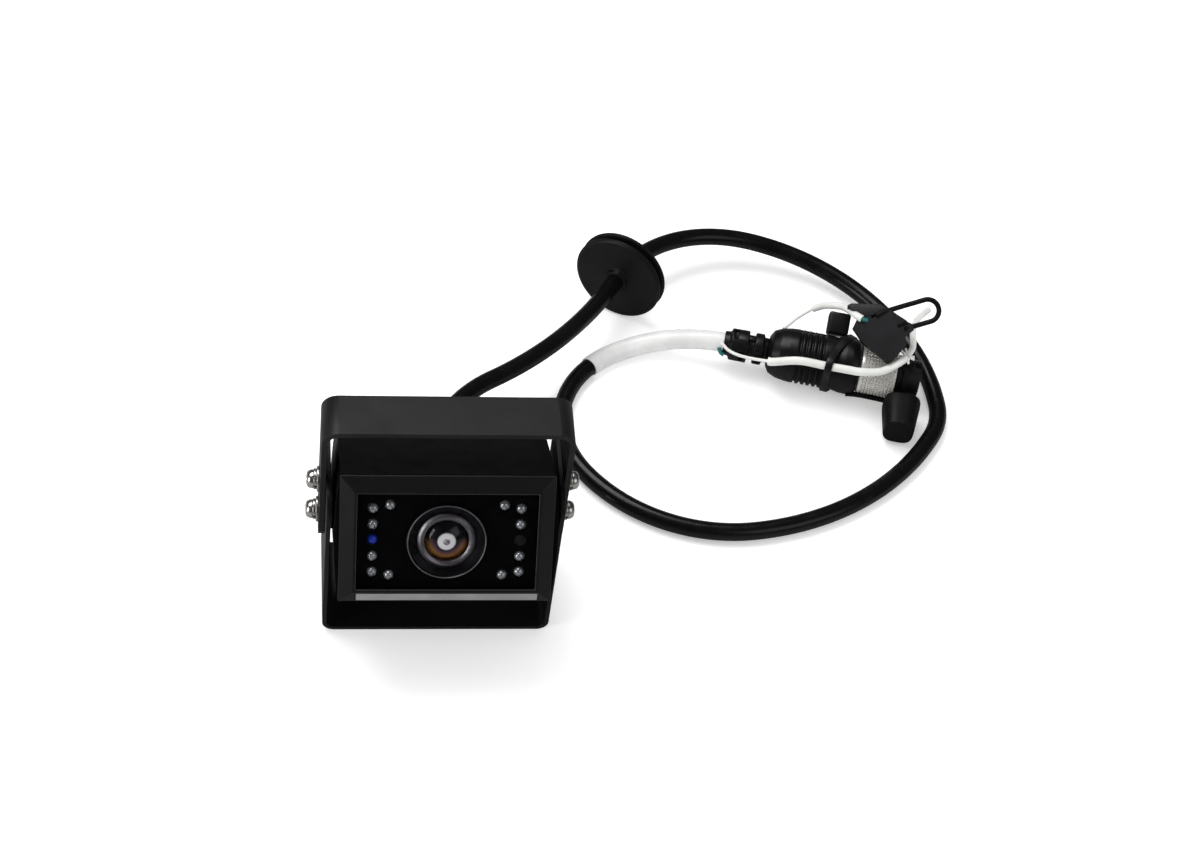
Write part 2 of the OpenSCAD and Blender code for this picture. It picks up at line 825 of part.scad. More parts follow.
module plug_nose() {
    color("#141415") at_plug() plug_turned() polygon([
        [5.6, grip_x + 15], [nose_r, grip_x + 15], [nose_r, ring_x + ring_l + 0.3],
        [7.7, ring_x + ring_l + 0.3], [7.7, ring_x + ring_l + 1.6],
        [6.9, ring_x + ring_l + 1.8], [6.9, nose_end_x], [5.6, nose_end_x]
    ]);
}

module coupling_ring() {
    color("#c2beb4") at_plug() plug_turned() polygon([
        [nose_r + fit_gap, ring_x], [ring_r - 0.7, ring_x], [ring_r, ring_x + 0.7],
        [ring_r, ring_x + ring_l - 0.7], [ring_r - 0.7, ring_x + ring_l],
        [nose_r + fit_gap, ring_x + ring_l]
    ]);
}

module pin_insert() {
    color("#222222") at_plug() difference() {
        x_bar(5.55, nose_end_x - 14, nose_end_x - 6);
        pin_places() x_bar(0.8, nose_end_x - 15, nose_end_x - 5);
    }
}

module pin_places() {
    for (k = [0:3])
        rotate([45 + 90 * k, 0, 0]) translate([0, 0, 2.9]) children();
}

module contact_pins() {
    color("#c9a227") at_plug() pin_places()
        x_bar(0.75, nose_end_x - 13.5, nose_end_x - 1.5);
}

// --- caps and ties -----------------------------------------------------------------
cap_r = 6.9;
cap_x = nose_end_x - 5;
cap_y = -12.6;
cap_l = 12.5;

module dust_cap() {
    color("#222224") at_plug() translate([cap_x, cap_y, cap_r - plug_z])
        rotate([90, 0, 0]) difference() {
            union() {
                cylinder(r1 = cap_r - 0.2, r2 = 5.1, h = cap_l);
                cylinder(r = cap_r, h = 1.6);
            }
            translate([0, 0, -1]) cylinder(r = 4.4, h = cap_l - 1.5);
        }
}

// A ring on the nose with a short link that reaches the rim of the dust cap
module dust_cap_tether() {
    ring_out_r = 8.9;
    tether_w = 2;
    x0 = nose_end_x - 6.4;
    color("#222224") at_plug() difference() {
        union() {
            x_bar(ring_out_r, x0, x0 + tether_w);
            translate([x0, cap_y, 1]) cube([tether_w, -cap_y - nose_r, 1.8]);
        }
        x_bar(nose_r - 0.05, x0 - 1, x0 + tether_w + 1);
    }
}

// The square cap leans back, with its lower rear edge on the coupling ring
lean = 40;
flap_t = 5;

module on_flap() {
    at_plug() translate([ring_x + 10.2, -5.6, ring_r + 3.7]) rotate([lean, 0, 0]) children();
}

module square_cap() {
    color("#262628") on_flap() difference() {
        translate([0, 0, -flap_t]) linear_extrude(flap_t)
            polygon([[0, 0], [5, 6.7], [6.7, 14], [-6.5, 19.5], [-15.4, 10.2]]);
        cord_legs(cord_r + fit_gap);
    }
}

cord_half_w = 4.1;

module on_cord() {
    translate([9.9, 20.6, -flap_t / 2]) rotate([0, 0, 27]) children();
}

module cord_legs(r) {
    on_cord() {
        x_bar(r, -9.5, -trim, -cord_half_w);
        x_bar(r, -15.5, -trim, cord_half_w);
    }
}

// A loop of cord whose two legs are held in the edge of the square cap
module square_cap_cord() {
    color("#1a1a1a") on_flap() union() {
        cord_legs(cord_r);
        on_cord() {
            for (side = [-1, 1])
                translate([0, side * cord_half_w, 0]) joint(cord_r + joint_grow);
            translate([0, -cord_half_w, 0]) bend(cord_half_w, 180) circle(cord_r);
        }
    }
}

module band_tie() {
    x0 = grip_x + 21.1;
    band_w = 3.4;
    band_t = 0.9;
    head_w = 7;
    head_h = 8;
    head_in_r = grip_r + 0.4;
    color("#161616") at_plug() difference() {
        union() {
            x_bar(grip_r + band_t, x0, x0 + band_w);
            x_bar(wire_r + band_t, x0, x0 + band_w, wire_y, wire_z);
            rotate([33, 0, 0]) translate([x0 - 0.6, head_in_r, -3])
                cube([head_w, head_h, 6]);
        }
        x_bar(grip_r + fit_gap, x0 - 1, x0 + band_w + 1);
        x_bar(wire_r + fit_gap, x0 - 1, x0 + band_w + 1, wire_y, wire_z);
    }
}

module white_tie() {
    x0 = grip_x + 2;
    x1 = ring_x + 6;
    color("#e4e4e0") at_plug() x_bar(wire_r, x0, x1, wire_y, wire_z);
}

mounting_cradle();
over_strap();
pivot_screws();
lock_screws();
spring_washers();
flat_washers();
friction_washers();
body_shell();
bezel_frame();
bezel_gasket();
window_glass();
sill_strip();
mask_panel();
ir_leds();
light_sensor();
daynight_sensor();
led_board();
board_screws();
lens_barrel();
retaining_ring();
front_lens();
iris_ring();
rear_lens();
lens_holder();
image_sensor();
sensor_board();
front_standoffs();
rear_standoffs();
main_board();
wire_header();
lead_wires();
rear_gasket();
rear_cover();
rear_cover_screws();
gland_body();
gland_locknut();
gland_seal();
gland_cap();
cable_tail();
cable();
wall_grommet();
label_sleeve();
strain_boot();
plug_grip();
coupling_ring();
plug_nose();
pin_insert();
contact_pins();
dust_cap();
dust_cap_tether();
square_cap();
square_cap_cord();
band_tie();
white_tie();
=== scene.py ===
"""Backup camera in its mounting cradle, with the cable laid in a loop and its plug bundled.

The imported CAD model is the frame. This script gives every node its finish, replaces the
nodes that need softer or finer shapes, and sets up a plain studio.
Lengths are in millimetres and are scaled to metres as each piece is placed.
"""

import json
import math
import random

import bmesh
import bpy
from mathutils import Matrix, Vector


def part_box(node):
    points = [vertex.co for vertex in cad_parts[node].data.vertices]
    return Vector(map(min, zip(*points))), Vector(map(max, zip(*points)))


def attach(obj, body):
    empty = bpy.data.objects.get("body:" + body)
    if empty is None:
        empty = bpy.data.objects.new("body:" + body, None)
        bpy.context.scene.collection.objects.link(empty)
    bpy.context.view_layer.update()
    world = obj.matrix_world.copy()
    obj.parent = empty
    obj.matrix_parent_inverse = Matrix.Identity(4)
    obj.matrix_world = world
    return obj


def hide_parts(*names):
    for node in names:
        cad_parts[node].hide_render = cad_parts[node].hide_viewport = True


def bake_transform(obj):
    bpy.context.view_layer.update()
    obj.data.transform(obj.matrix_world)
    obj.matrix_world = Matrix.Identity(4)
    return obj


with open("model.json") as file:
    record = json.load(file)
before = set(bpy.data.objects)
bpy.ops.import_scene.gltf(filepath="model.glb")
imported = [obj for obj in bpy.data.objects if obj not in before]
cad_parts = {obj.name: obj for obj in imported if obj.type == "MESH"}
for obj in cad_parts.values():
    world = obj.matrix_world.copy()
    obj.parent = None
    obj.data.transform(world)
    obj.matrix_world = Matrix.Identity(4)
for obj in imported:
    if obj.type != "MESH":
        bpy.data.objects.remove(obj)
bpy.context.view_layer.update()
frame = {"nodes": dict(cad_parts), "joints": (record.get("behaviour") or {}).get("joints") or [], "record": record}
NODES = frame["nodes"]
JOINTS = {joint["name"]: joint for joint in frame["joints"]}

MM = 0.001
SCALE = Matrix.Scale(MM, 4)
CRADLE, CAMERA, RING = "cradle", "camera_body", "coupling_ring"

# --- places, from the frame ------------------------------------------------------------
TILT = math.radians(28)
PIVOT = Vector(JOINTS["camera_tilt"]["pos_m"])
PLUG = Vector(JOINTS["coupling_spin"]["pos_m"])
PLUG_AXIS = Vector(JOINTS["coupling_spin"]["axis"]).normalized()
PLUG_AZ = math.atan2(PLUG_AXIS.y, PLUG_AXIS.x)

IN_ROW = SCALE
IN_BODY = Matrix.Translation(PIVOT) @ Matrix.Rotation(-TILT, 4, "X") @ SCALE
AT_PLUG = Matrix.Translation(PLUG) @ Matrix.Rotation(PLUG_AZ, 4, "Z") @ SCALE

# body-frame sizes, as in the CAD source
CROWN_Y = -32.0
BARREL_Y = CROWN_Y + 2.05
MASK_Y = -28.6
LENS_Z = 1.5
WINDOW_W, WINDOW_H, WINDOW_Z = 57.7, 33.4, 2.2
BODY_H, BODY_MID_Z = 43.3, 2.5
CROWN = 2.3
LED_X = 23.5
LED_PITCH = 5.5
LED_R = 1.62
GLAND_Z = 2.5
START_Y = 34.0

# plug sizes along its axis
GRIP_X = 16.5
GRIP_L = 34.0
GRIP_R = 10.0
RING_X = GRIP_X + GRIP_L + 0.2
RING_L = 13.6
RING_R = 9.2
NOSE_R = 7.0
NOSE_END = RING_X + RING_L + 9
CABLE_R = 3.2


# --- node helpers ----------------------------------------------------------------------
class Shader:
    """A material under construction: short calls that add and join nodes."""

    def __init__(self, name):
        self.material = bpy.data.materials.new(name)
        self.material.use_nodes = True
        self.tree = self.material.node_tree
        self.bsdf = self.tree.nodes["Principled BSDF"]
        self.output = self.tree.nodes["Material Output"]
        self.coords = self.node("ShaderNodeTexCoord").outputs["Object"]

    def node(self, kind, **settings):
        node = self.tree.nodes.new(kind)
        for key, value in settings.items():
            setattr(node, key, value)
        return node

    def put(self, value, socket):
        if isinstance(value, bpy.types.NodeSocket):
            self.tree.links.new(value, socket)
        else:
            socket.default_value = value

    def math(self, operation, a, b=0.0, clamp=False):
        node = self.node("ShaderNodeMath", operation=operation, use_clamp=clamp)
        self.put(a, node.inputs[0])
        self.put(b, node.inputs[1])
        return node.outputs[0]

    def noise(self, scale, detail=3.0, rough=0.5):
        node = self.node("ShaderNodeTexNoise")
        self.put(self.coords, node.inputs["Vector"])
        node.inputs["Scale"].default_value = scale
        node.inputs["Detail"].default_value = detail
        node.inputs["Roughness"].default_value = rough
        return node.outputs["Fac"]

    def ramp(self, value, low, high, start=0.0, end=1.0):
        node = self.node("ShaderNodeMapRange")
        self.put(value, node.inputs["Value"])
        node.inputs["From Min"].default_value = low
        node.inputs["From Max"].default_value = high
        node.inputs["To Min"].default_value = start
        node.inputs["To Max"].default_value = end
        return node.outputs["Result"]

    def mix(self, factor, a, b):
        node = self.node("ShaderNodeMix", data_type="RGBA")
        self.put(factor, node.inputs["Factor"])
        for value, socket in ((a, node.inputs["A"]), (b, node.inputs["B"])):
            self.put(rgba(value) if isinstance(value, tuple) else value, socket)
        return node.outputs["Result"]

    def bump(self, *layers):
        """Each layer is (height, strength, distance in mm); they stack."""
        normal = None
        for height, strength, distance in layers:
            node = self.node("ShaderNodeBump")
            node.inputs["Strength"].default_value = strength
            node.inputs["Distance"].default_value = distance * MM
            self.put(height, node.inputs["Height"])
            if normal:
                self.put(normal, node.inputs["Normal"])
            normal = node.outputs["Normal"]
        self.put(normal, self.bsdf.inputs["Normal"])

    def edges(self, radius):
        """1 on edges sharper than the radius in mm, 0 on open faces."""
        bevel = self.node("ShaderNodeBevel", samples=4)
        bevel.inputs["Radius"].default_value = radius * MM
        geometry = self.node("ShaderNodeNewGeometry")
        dot = self.node("ShaderNodeVectorMath", operation="DOT_PRODUCT")
        self.put(bevel.outputs["Normal"], dot.inputs[0])
        self.put(geometry.outputs["Normal"], dot.inputs[1])
        return self.ramp(dot.outputs["Value"], 0.98, 0.8)

    def set(self, **values):
        for key, value in values.items():
            self.put(value, self.bsdf.inputs[key.replace("_", " ")])
        return self


def rgba(colour):
    return (*colour, 1.0)


def shade(colour, factor):
    return tuple(min(1.0, c * factor) for c in colour)


# --- materials -------------------------------------------------------------------------
def coated(name, colour, rough, wear_and_highlight=0.0, wear_and_highlight_to=7.0, sheen=0.5):
    """Powder coat or paint: fine grain, slow colour drift; if asked, rubbed edges with painted highlight."""
    grain_mm = 0.02
    s = Shader(name)
    drift = s.noise(55, 4, 0.6)
    fine = s.noise(2600, 2, 0.6)
    base = s.mix(s.ramp(drift, 0.3, 0.7), shade(colour, 0.86), shade(colour, 1.16))
    base = s.mix(s.math("MULTIPLY", s.ramp(fine, 0.5, 0.8), 0.25), base, shade(colour, 1.8))
    level = s.ramp(s.noise(140, 5, 0.65), 0.25, 0.75, rough - 0.06, rough + 0.07)
    # Lighter edges: partly rubbed paint, partly a painted highlight along the rims.
    if wear_and_highlight:
        patches = s.ramp(s.noise(420, 4, 0.7), 0.42, 0.62)
        wear_and_highlight_mask = s.math("MULTIPLY", s.math("MULTIPLY", s.edges(0.35), patches), wear_and_highlight)
        base = s.mix(wear_and_highlight_mask, base, shade(colour, wear_and_highlight_to))
    s.set(Base_Color=base, Roughness=level, Specular_IOR_Level=sheen)
    s.bump((fine, 0.35, grain_mm), (s.noise(500, 3), 0.15, grain_mm * 2))
    return s.material


def cast(name, colour, rough):
    """Painted die casting: a pebbled skin over very slight waviness."""
    s = Shader(name)
    cells = s.node("ShaderNodeTexVoronoi")
    s.put(s.coords, cells.inputs["Vector"])
    cells.inputs["Scale"].default_value = 1500
    drift = s.noise(45, 4, 0.6)
    base = s.mix(s.ramp(drift, 0.3, 0.7), shade(colour, 0.8), shade(colour, 1.2))
    level = s.ramp(s.noise(160, 4), 0.25, 0.75, rough - 0.05, rough + 0.08)
    s.set(Base_Color=base, Roughness=level, Specular_IOR_Level=0.012)
    s.bump((cells.outputs["Distance"], 0.3, 0.03), (s.noise(90, 2), 0.12, 0.12))
    return s.material


def rubber(name, colour, rough, pores=1900, dust=0.12, spec=0.35):
    """Moulded rubber or soft PVC: pores, a dusty bloom and faint handling marks."""
    s = Shader(name)
    fine = s.noise(pores, 3, 0.65)
    bloom = s.math("MULTIPLY", s.ramp(s.noise(85, 5, 0.7), 0.45, 0.75), dust)
    base = s.mix(s.ramp(s.noise(60, 3), 0.3, 0.7), shade(colour, 0.85), shade(colour, 1.15))
    base = s.mix(bloom, base, (0.16, 0.155, 0.15))
    level = s.ramp(s.noise(190, 4, 0.7), 0.25, 0.75, rough - 0.08, rough + 0.08)
    s.set(Base_Color=base, Roughness=level, Specular_IOR_Level=spec)
    s.bump((fine, 0.3, 0.02), (s.noise(300, 3), 0.2, 0.05))
    return s.material


def plastic(name, colour, rough, spec=0.5, coat=0.0):
    """Moulded plastic: slight colour drift and a faint skin texture."""
    s = Shader(name)
    base = s.mix(s.ramp(s.noise(110, 4), 0.3, 0.7), shade(colour, 0.9), shade(colour, 1.1))
    level = s.ramp(s.noise(260, 4), 0.25, 0.75, max(0.03, rough - 0.05), rough + 0.06)
    s.set(Base_Color=base, Roughness=level, Specular_IOR_Level=spec, Coat_Weight=coat)
    s.bump((s.noise(1300, 2), 0.15, 0.01))
    return s.material


def metal(name, colour, rough, grime=0.25, hollow_shade_mm=0.0, bare=1.0):
    """Bare metal: fine machining marks, grime and, if asked, painted shade darkening its hollows."""
    s = Shader(name)
    fine = s.noise(2200, 2, 0.5)
    base = s.mix(s.ramp(fine, 0.3, 0.7), shade(colour, 0.82), shade(colour, 1.1))
    dirt = s.math("MULTIPLY", s.ramp(s.noise(380, 4, 0.7), 0.5, 0.72), grime)
    base = s.mix(dirt, base, shade(colour, 0.3))
    # Painted shade: darker where ambient occlusion finds hollows, as in the knurl's grooves.
    if hollow_shade_mm:
        hollow = s.node("ShaderNodeAmbientOcclusion", samples=6)
        hollow.inputs["Distance"].default_value = hollow_shade_mm * MM
        base = s.mix(s.ramp(hollow.outputs["AO"], 0.85, 0.45), base, shade(colour, 0.06))
    level = s.ramp(fine, 0.3, 0.7, rough - 0.06, rough + 0.1)
    s.set(Base_Color=base, Roughness=level, Metallic=bare)
    s.bump((fine, 0.25, 0.01))
    return s.material


def see_through(name, tint, reflect):
    """Flat window glass: a tinted see-through film with a sharp reflection and smudges."""
    s = Shader(name)
    clear = s.node("ShaderNodeBsdfTransparent")
    clear.inputs["Color"].default_value = rgba(tint)
    gloss = s.node("ShaderNodeBsdfGlossy")
    s.put(s.ramp(s.noise(160, 5, 0.7), 0.35, 0.75, 0.015, 0.09), gloss.inputs["Roughness"])
    fresnel = s.node("ShaderNodeFresnel")
    fresnel.inputs["IOR"].default_value = 1.46
    both = s.node("ShaderNodeMixShader")
    s.put(s.math("MULTIPLY", fresnel.outputs[0], reflect, clamp=True), both.inputs[0])
    s.put(clear.outputs[0], both.inputs[1])
    s.put(gloss.outputs[0], both.inputs[2])
    s.put(both.outputs[0], s.output.inputs["Surface"])
    return s.material


def lens_coating(name):
    """Front element: near black, with painted reflections of its coating, amber and violet, low down."""
    s = Shader(name)
    place = s.node("ShaderNodeMapping", vector_type="POINT")
    s.put(s.coords, place.inputs["Vector"])
    centre = IN_BODY @ Vector((0, BARREL_Y, LENS_Z))
    across = Matrix.Rotation(TILT, 4, "X") @ Matrix.Translation(-centre)
    place.inputs["Location"].default_value = across.to_translation()
    place.inputs["Rotation"].default_value = across.to_euler()
    parts = s.node("ShaderNodeSeparateXYZ")
    s.put(place.outputs[0], parts.inputs[0])
    x, z = parts.outputs["X"], parts.outputs["Z"]
    radius = s.math("SQRT", s.math("ADD", s.math("MULTIPLY", x, x), s.math("MULTIPLY", z, z)))
    # Painted reflection: the coating's amber and violet tints, on the lower half only.
    low = s.ramp(z, 0.0008, -0.0028)
    rim = s.ramp(radius, 0.0036, 0.0052)
    amber = s.math("MULTIPLY", low, rim)
    violet = s.math("MULTIPLY", low, s.math("MULTIPLY", s.ramp(radius, 0.003, 0.004),
                                            s.ramp(radius, 0.005, 0.0043)))
    colour = s.mix(amber, (0.002, 0.002, 0.003), (0.19, 0.085, 0.022))
    colour = s.mix(s.math("MULTIPLY", violet, 0.5), colour, (0.07, 0.02, 0.075))
    spot = s.ramp(radius, 0.0031, 0.0026)
    colour = s.mix(spot, colour, (0.56, 0.56, 0.53))
    pupil = s.math("MULTIPLY", s.ramp(radius, 0.0013, 0.0009),
                   s.ramp(s.noise(900, 3), 0.35, 0.6, 0.4, 1.0))
    colour = s.mix(pupil, colour, (0.06, 0.04, 0.06))
    s.set(Base_Color=colour, Roughness=0.4, Coat_Weight=0.6, Coat_Roughness=0.03,
          Specular_IOR_Level=0.1)
    return s.material


MATERIALS = {
    "cradle_coat": coated("cradle_coat", (0.004, 0.004, 0.0044), 0.4, wear_and_highlight=0.3, sheen=0.2),
    "strap_coat": coated("strap_coat", (0.0092, 0.0084, 0.009), 0.44, wear_and_highlight=0.1, sheen=0.2),
    "screw_steel": metal("screw_steel", (0.62, 0.61, 0.58), 0.24),
    "washer_steel": metal("washer_steel", (0.55, 0.54, 0.52), 0.3),
    "friction_nylon": plastic("friction_nylon", (0.62, 0.6, 0.54), 0.5),
    "body_coat": cast("body_coat", (0.0022, 0.0024, 0.0022), 0.4),
    "bezel_coat": coated("bezel_coat", (0.0048, 0.0046, 0.005), 0.3, wear_and_highlight=0.5, sheen=0.2),
    "seal_rubber": rubber("seal_rubber", (0.006, 0.006, 0.006), 0.6, dust=0.03),
    "window_glass": see_through("window_glass", (0.92, 0.92, 0.94), 0.08),
    # Light grey of the sill plate: painted light on the bezel's lower flank.
    "sill_grey": plastic("sill_grey", (0.175, 0.171, 0.174), 0.45),
    "mask_black": plastic("mask_black", (0.0012, 0.0011, 0.0012), 0.55, spec=0.05),
    "led_lens": metal("led_lens", (0.5, 0.51, 0.5), 0.2, grime=0.0, bare=0.75),
    "sensor_blue": plastic("sensor_blue", (0.006, 0.022, 0.26), 0.25, coat=0.4),
    "sensor_dark": plastic("sensor_dark", (0.006, 0.006, 0.006), 0.2, coat=0.4),
    "board_green": plastic("board_green", (0.01, 0.06, 0.015), 0.4),
    "board_steel": metal("board_steel", (0.5, 0.5, 0.48), 0.35),
    # The barrel's edges lighten far: mostly a painted rim highlight.
    "barrel_black": coated("barrel_black", (0.003, 0.0027, 0.003), 0.3, wear_and_highlight=0.4, wear_and_highlight_to=36.0,
                           sheen=0.1),
    "ring_grey": metal("ring_grey", (0.27, 0.26, 0.262), 0.36, grime=0.15),
    "lens_glass": lens_coating("lens_glass"),
    "holder_black": plastic("holder_black", (0.0035, 0.0035, 0.004), 0.4, spec=0.3),
    "chip_dark": plastic("chip_dark", (0.05, 0.07, 0.13), 0.15),
    "post_brass": metal("post_brass", (0.62, 0.44, 0.16), 0.3),
    "header_cream": plastic("header_cream", (0.72, 0.66, 0.55), 0.45),
    "lead_wire": plastic("lead_wire", (0.35, 0.02, 0.02), 0.4),
    "cable_jacket": rubber("cable_jacket", (0.003, 0.003, 0.0032), 0.25, pores=1500, dust=0.01,
                           spec=0.24),
    "grommet_rubber": rubber("grommet_rubber", (0.0035, 0.0035, 0.0038), 0.42, dust=0.02, spec=0.16),
    "label_white": plastic("label_white", (0.66, 0.66, 0.655), 0.3),
    "plug_rubber": rubber("plug_rubber", (0.0028, 0.0028, 0.0029), 0.36, dust=0.015, spec=0.28),
    "knurled_ring": metal("knurled_ring", (0.9, 0.88, 0.82), 0.3, grime=0.0, hollow_shade_mm=0.6, bare=0.62),
    "cap_rubber": rubber("cap_rubber", (0.0032, 0.0027, 0.0035), 0.46, pores=1200, dust=0.015,
                         spec=0.16),
    "flap_rubber": rubber("flap_rubber", (0.0105, 0.0092, 0.0108), 0.5, pores=1200, dust=0.015,
                          spec=0.3),
    "tie_black": plastic("tie_black", (0.004, 0.004, 0.0042), 0.36, spec=0.35),
    # Light grey ring round the lens barrel: a painted highlight.
    "rim_highlight_grey": metal("rim_highlight_grey", (0.42, 0.41, 0.41), 0.4, grime=0.5),
    # Grey line round the window: a painted highlight.
    "edge_highlight_grey": plastic("edge_highlight_grey", (0.028, 0.027, 0.028), 0.3),
    "tie_green": plastic("tie_green", (0.01, 0.14, 0.13), 0.4),
    "tie_white": plastic("tie_white", (0.68, 0.69, 0.66), 0.35),
}


def finish_nodes():
    """Gives every CAD node the material that its row names."""
    for row in frame["record"]["subparts"]:
        node = NODES[row["node"]]
        node.data.materials.clear()
        node.data.materials.append(MATERIALS[row["material_slot"]])


def soften(name, width):
    """Rounds the edges of a CAD node as it is shown; its own mesh is left alone."""
    node = NODES[name]
    weld = node.modifiers.new("weld", "WELD")
    weld.merge_threshold = 0.002 * MM
    flat = node.modifiers.new("flat", "DECIMATE")
    flat.decimate_type = "DISSOLVE"
    flat.angle_limit = math.radians(1)
    bevel = node.modifiers.new("edges", "BEVEL")
    bevel.width = width * MM
    bevel.segments = 3
    bevel.limit_method = "ANGLE"
    bevel.angle_limit = math.radians(30)
    bevel.harden_normals = True
    bevel.use_clamp_overlap = True


# --- mesh helpers ----------------------------------------------------------------------
def piece(name, mesh, material, body, place=None, stands_for=(), smooth=40):
    """Puts a mesh in the scene in the row frame and rides it on its CAD body."""
    if place is not None:
        mesh.transform(place)
    for polygon in mesh.polygons:
        polygon.use_smooth = smooth > 0
    if smooth > 0:
        mesh.set_sharp_from_angle(angle=math.radians(smooth))
    mesh.materials.append(MATERIALS[material])
    obj = bpy.data.objects.new(name, mesh)
    bpy.context.scene.collection.objects.link(obj)
    if body:
        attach(obj, body)
    if stands_for:
        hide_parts(*stands_for)
    return obj


def build(verts, faces):
    mesh = bpy.data.meshes.new("mesh")
    mesh.from_pydata([tuple(v) for v in verts], [], faces)
    fixed = bmesh.new()
    fixed.from_mesh(mesh)
    bmesh.ops.remove_doubles(fixed, verts=fixed.verts, dist=1e-4)
    bmesh.ops.recalc_face_normals(fixed, faces=fixed.faces)
    fixed.to_mesh(mesh)
    fixed.free()
    return mesh


def joined(*meshes):
    both = bmesh.new()
    for mesh in meshes:
        both.from_mesh(mesh)
    result = bpy.data.meshes.new("joined")
    both.to_mesh(result)
    both.free()
    return result


def moved(mesh, matrix):
    copy = mesh.copy()
    copy.transform(matrix)
    return copy


def lathe(profile, axis="X", steps=72, wave=None):
    """Turns (radius, distance) points about an axis. wave(angle, i) scales a radius."""
    turn = {"X": Matrix.Rotation(math.pi / 2, 4, "Y"), "Y": Matrix.Rotation(-math.pi / 2, 4, "X"),
            "Z": Matrix.Identity(4)}[axis]
    verts, faces = [], []
    count = len(profile)
    for k in range(steps):
        angle = 2 * math.pi * k / steps
        for i, (radius, along) in enumerate(profile):
            r = radius * (wave(angle, i) if wave else 1.0)
            verts.append(turn @ Vector((r * math.cos(angle), r * math.sin(angle), along)))
    for k in range(steps):
        a, b = k * count, (k + 1) % steps * count
        for i in range(count - 1):
            faces.append((a + i, a + i + 1, b + i + 1, b + i))
    return build(verts, faces)


def rounded(points, radius, steps=4):
    """Rounds the corners of an open (r, x) profile with small arcs."""
    result = [points[0]]
    for before, here, after in zip(points, points[1:], points[2:]):
        here_v, a, b = Vector(here), Vector(before), Vector(after)
        to_a, to_b = a - here_v, b - here_v
        cut = min(radius, to_a.length * 0.45, to_b.length * 0.45)
        start, end = here_v + to_a.normalized() * cut, here_v + to_b.normalized() * cut
        for k in range(steps + 1):
            t = k / steps
            result.append(tuple((1 - t) ** 2 * start + 2 * t * (1 - t) * here_v + t * t * end))
    return result + [points[-1]]


def sweep(points, section, closed_ends=True):
    """Carries a 2-D section along points with as little twist as possible."""
    tangents = []
    for i in range(len(points)):
        a, b = points[max(0, i - 1)], points[min(len(points) - 1, i + 1)]
        tangents.append((b - a).normalized())
    side = tangents[0].cross(Vector((0, 0, 1)))
    if side.length < 1e-3:
        side = Vector((1, 0, 0))
    side.normalize()
    verts, faces, n = [], [], len(section)
    for point, tangent in zip(points, tangents):
        side = (side - tangent * side.dot(tangent)).normalized()
        up = side.cross(tangent)
        for u, v in section:
            verts.append(point + side * u + up * v)
    for i in range(len(points) - 1):
        for k in range(n):
            a, b = i * n + k, i * n + (k + 1) % n
            faces.append((a, b, b + n, a + n))
    if closed_ends:
        faces.append(tuple(range(n - 1, -1, -1)))
        faces.append(tuple(range(len(verts) - n, len(verts))))
    return build(verts, faces)


def ring_section(radius, steps=28):
    return [(radius * math.cos(2 * math.pi * k / steps), radius * math.sin(2 * math.pi * k / steps))
            for k in range(steps)]


def box_section(w, h, r=0.2):
    corners = [(w / 2 - r, h / 2 - r, 0), (r - w / 2, h / 2 - r, 90),
               (r - w / 2, r - h / 2, 180), (w / 2 - r, r - h / 2, 270)]
    return [(cx + r * math.cos(math.radians(a + d)), cy + r * math.sin(math.radians(a + d)))
            for cx, cy, a in corners for d in (0, 30, 60, 90)]


def curve(points, steps=10):
    """A smooth line through points (Catmull-Rom)."""
    points = [Vector(p) for p in points]
    padded = [2 * points[0] - points[1]] + points + [2 * points[-1] - points[-2]]
    line = []
    for p0, p1, p2, p3 in zip(padded, padded[1:], padded[2:], padded[3:]):
        for k in range(steps):
            t = k / steps
            line.append(0.5 * ((2 * p1) + (p2 - p0) * t + (2 * p0 - 5 * p1 + 4 * p2 - p3) * t ** 2
                               + (3 * p1 - p0 - 3 * p2 + p3) * t ** 3))
    return line + [points[-1]]


def prism(outline, z0, z1):
    n = len(outline)
    verts = [(x, y, z0) for x, y in outline] + [(x, y, z1) for x, y in outline]
    faces = [tuple(range(n - 1, -1, -1)), tuple(range(n, 2 * n))]
    faces += [(k, (k + 1) % n, (k + 1) % n + n, k + n) for k in range(n)]
    return build(verts, faces)


def block(w, d, h):
    """A box centred on the origin."""
    return prism([(-w / 2, -d / 2), (w / 2, -d / 2), (w / 2, d / 2), (-w / 2, d / 2)],
                 -h / 2, h / 2)


def cut(mesh, *tools):
    """mesh with the tools taken out of it."""
    target = bpy.data.objects.new("cut", mesh)
    bpy.context.scene.collection.objects.link(target)
    helpers = [target]
    for tool in tools:
        other = bpy.data.objects.new("tool", tool)
        bpy.context.scene.collection.objects.link(other)
        helpers.append(other)
        modifier = target.modifiers.new("cut", "BOOLEAN")
        modifier.operation = "DIFFERENCE"
        modifier.solver = "EXACT"
        modifier.object = other
    result = baked(target)
    for helper in helpers:
        bpy.data.objects.remove(helper)
    return result


def baked(obj):
    bpy.context.view_layer.update()
    graph = bpy.context.evaluated_depsgraph_get()
    return bpy.data.meshes.new_from_object(obj.evaluated_get(graph))


def bevelled(mesh, width, segments=3, angle=30):
    """mesh with its sharp edges rounded."""
    obj = bpy.data.objects.new("bevelled", mesh)
    bpy.context.scene.collection.objects.link(obj)
    bevel = obj.modifiers.new("edges", "BEVEL")
    bevel.width, bevel.segments = width, segments
    bevel.limit_method = "ANGLE"
    bevel.angle_limit = math.radians(angle)
    result = baked(obj)
    bpy.data.objects.remove(obj)
    return result


def turned_to(direction, origin=(0, 0, 0)):
    """A frame at origin whose +Z runs along direction."""
    quaternion = Vector((0, 0, 1)).rotation_difference(Vector(direction).normalized())
    return Matrix.Translation(Vector(origin)) @ quaternion.to_matrix().to_4x4()


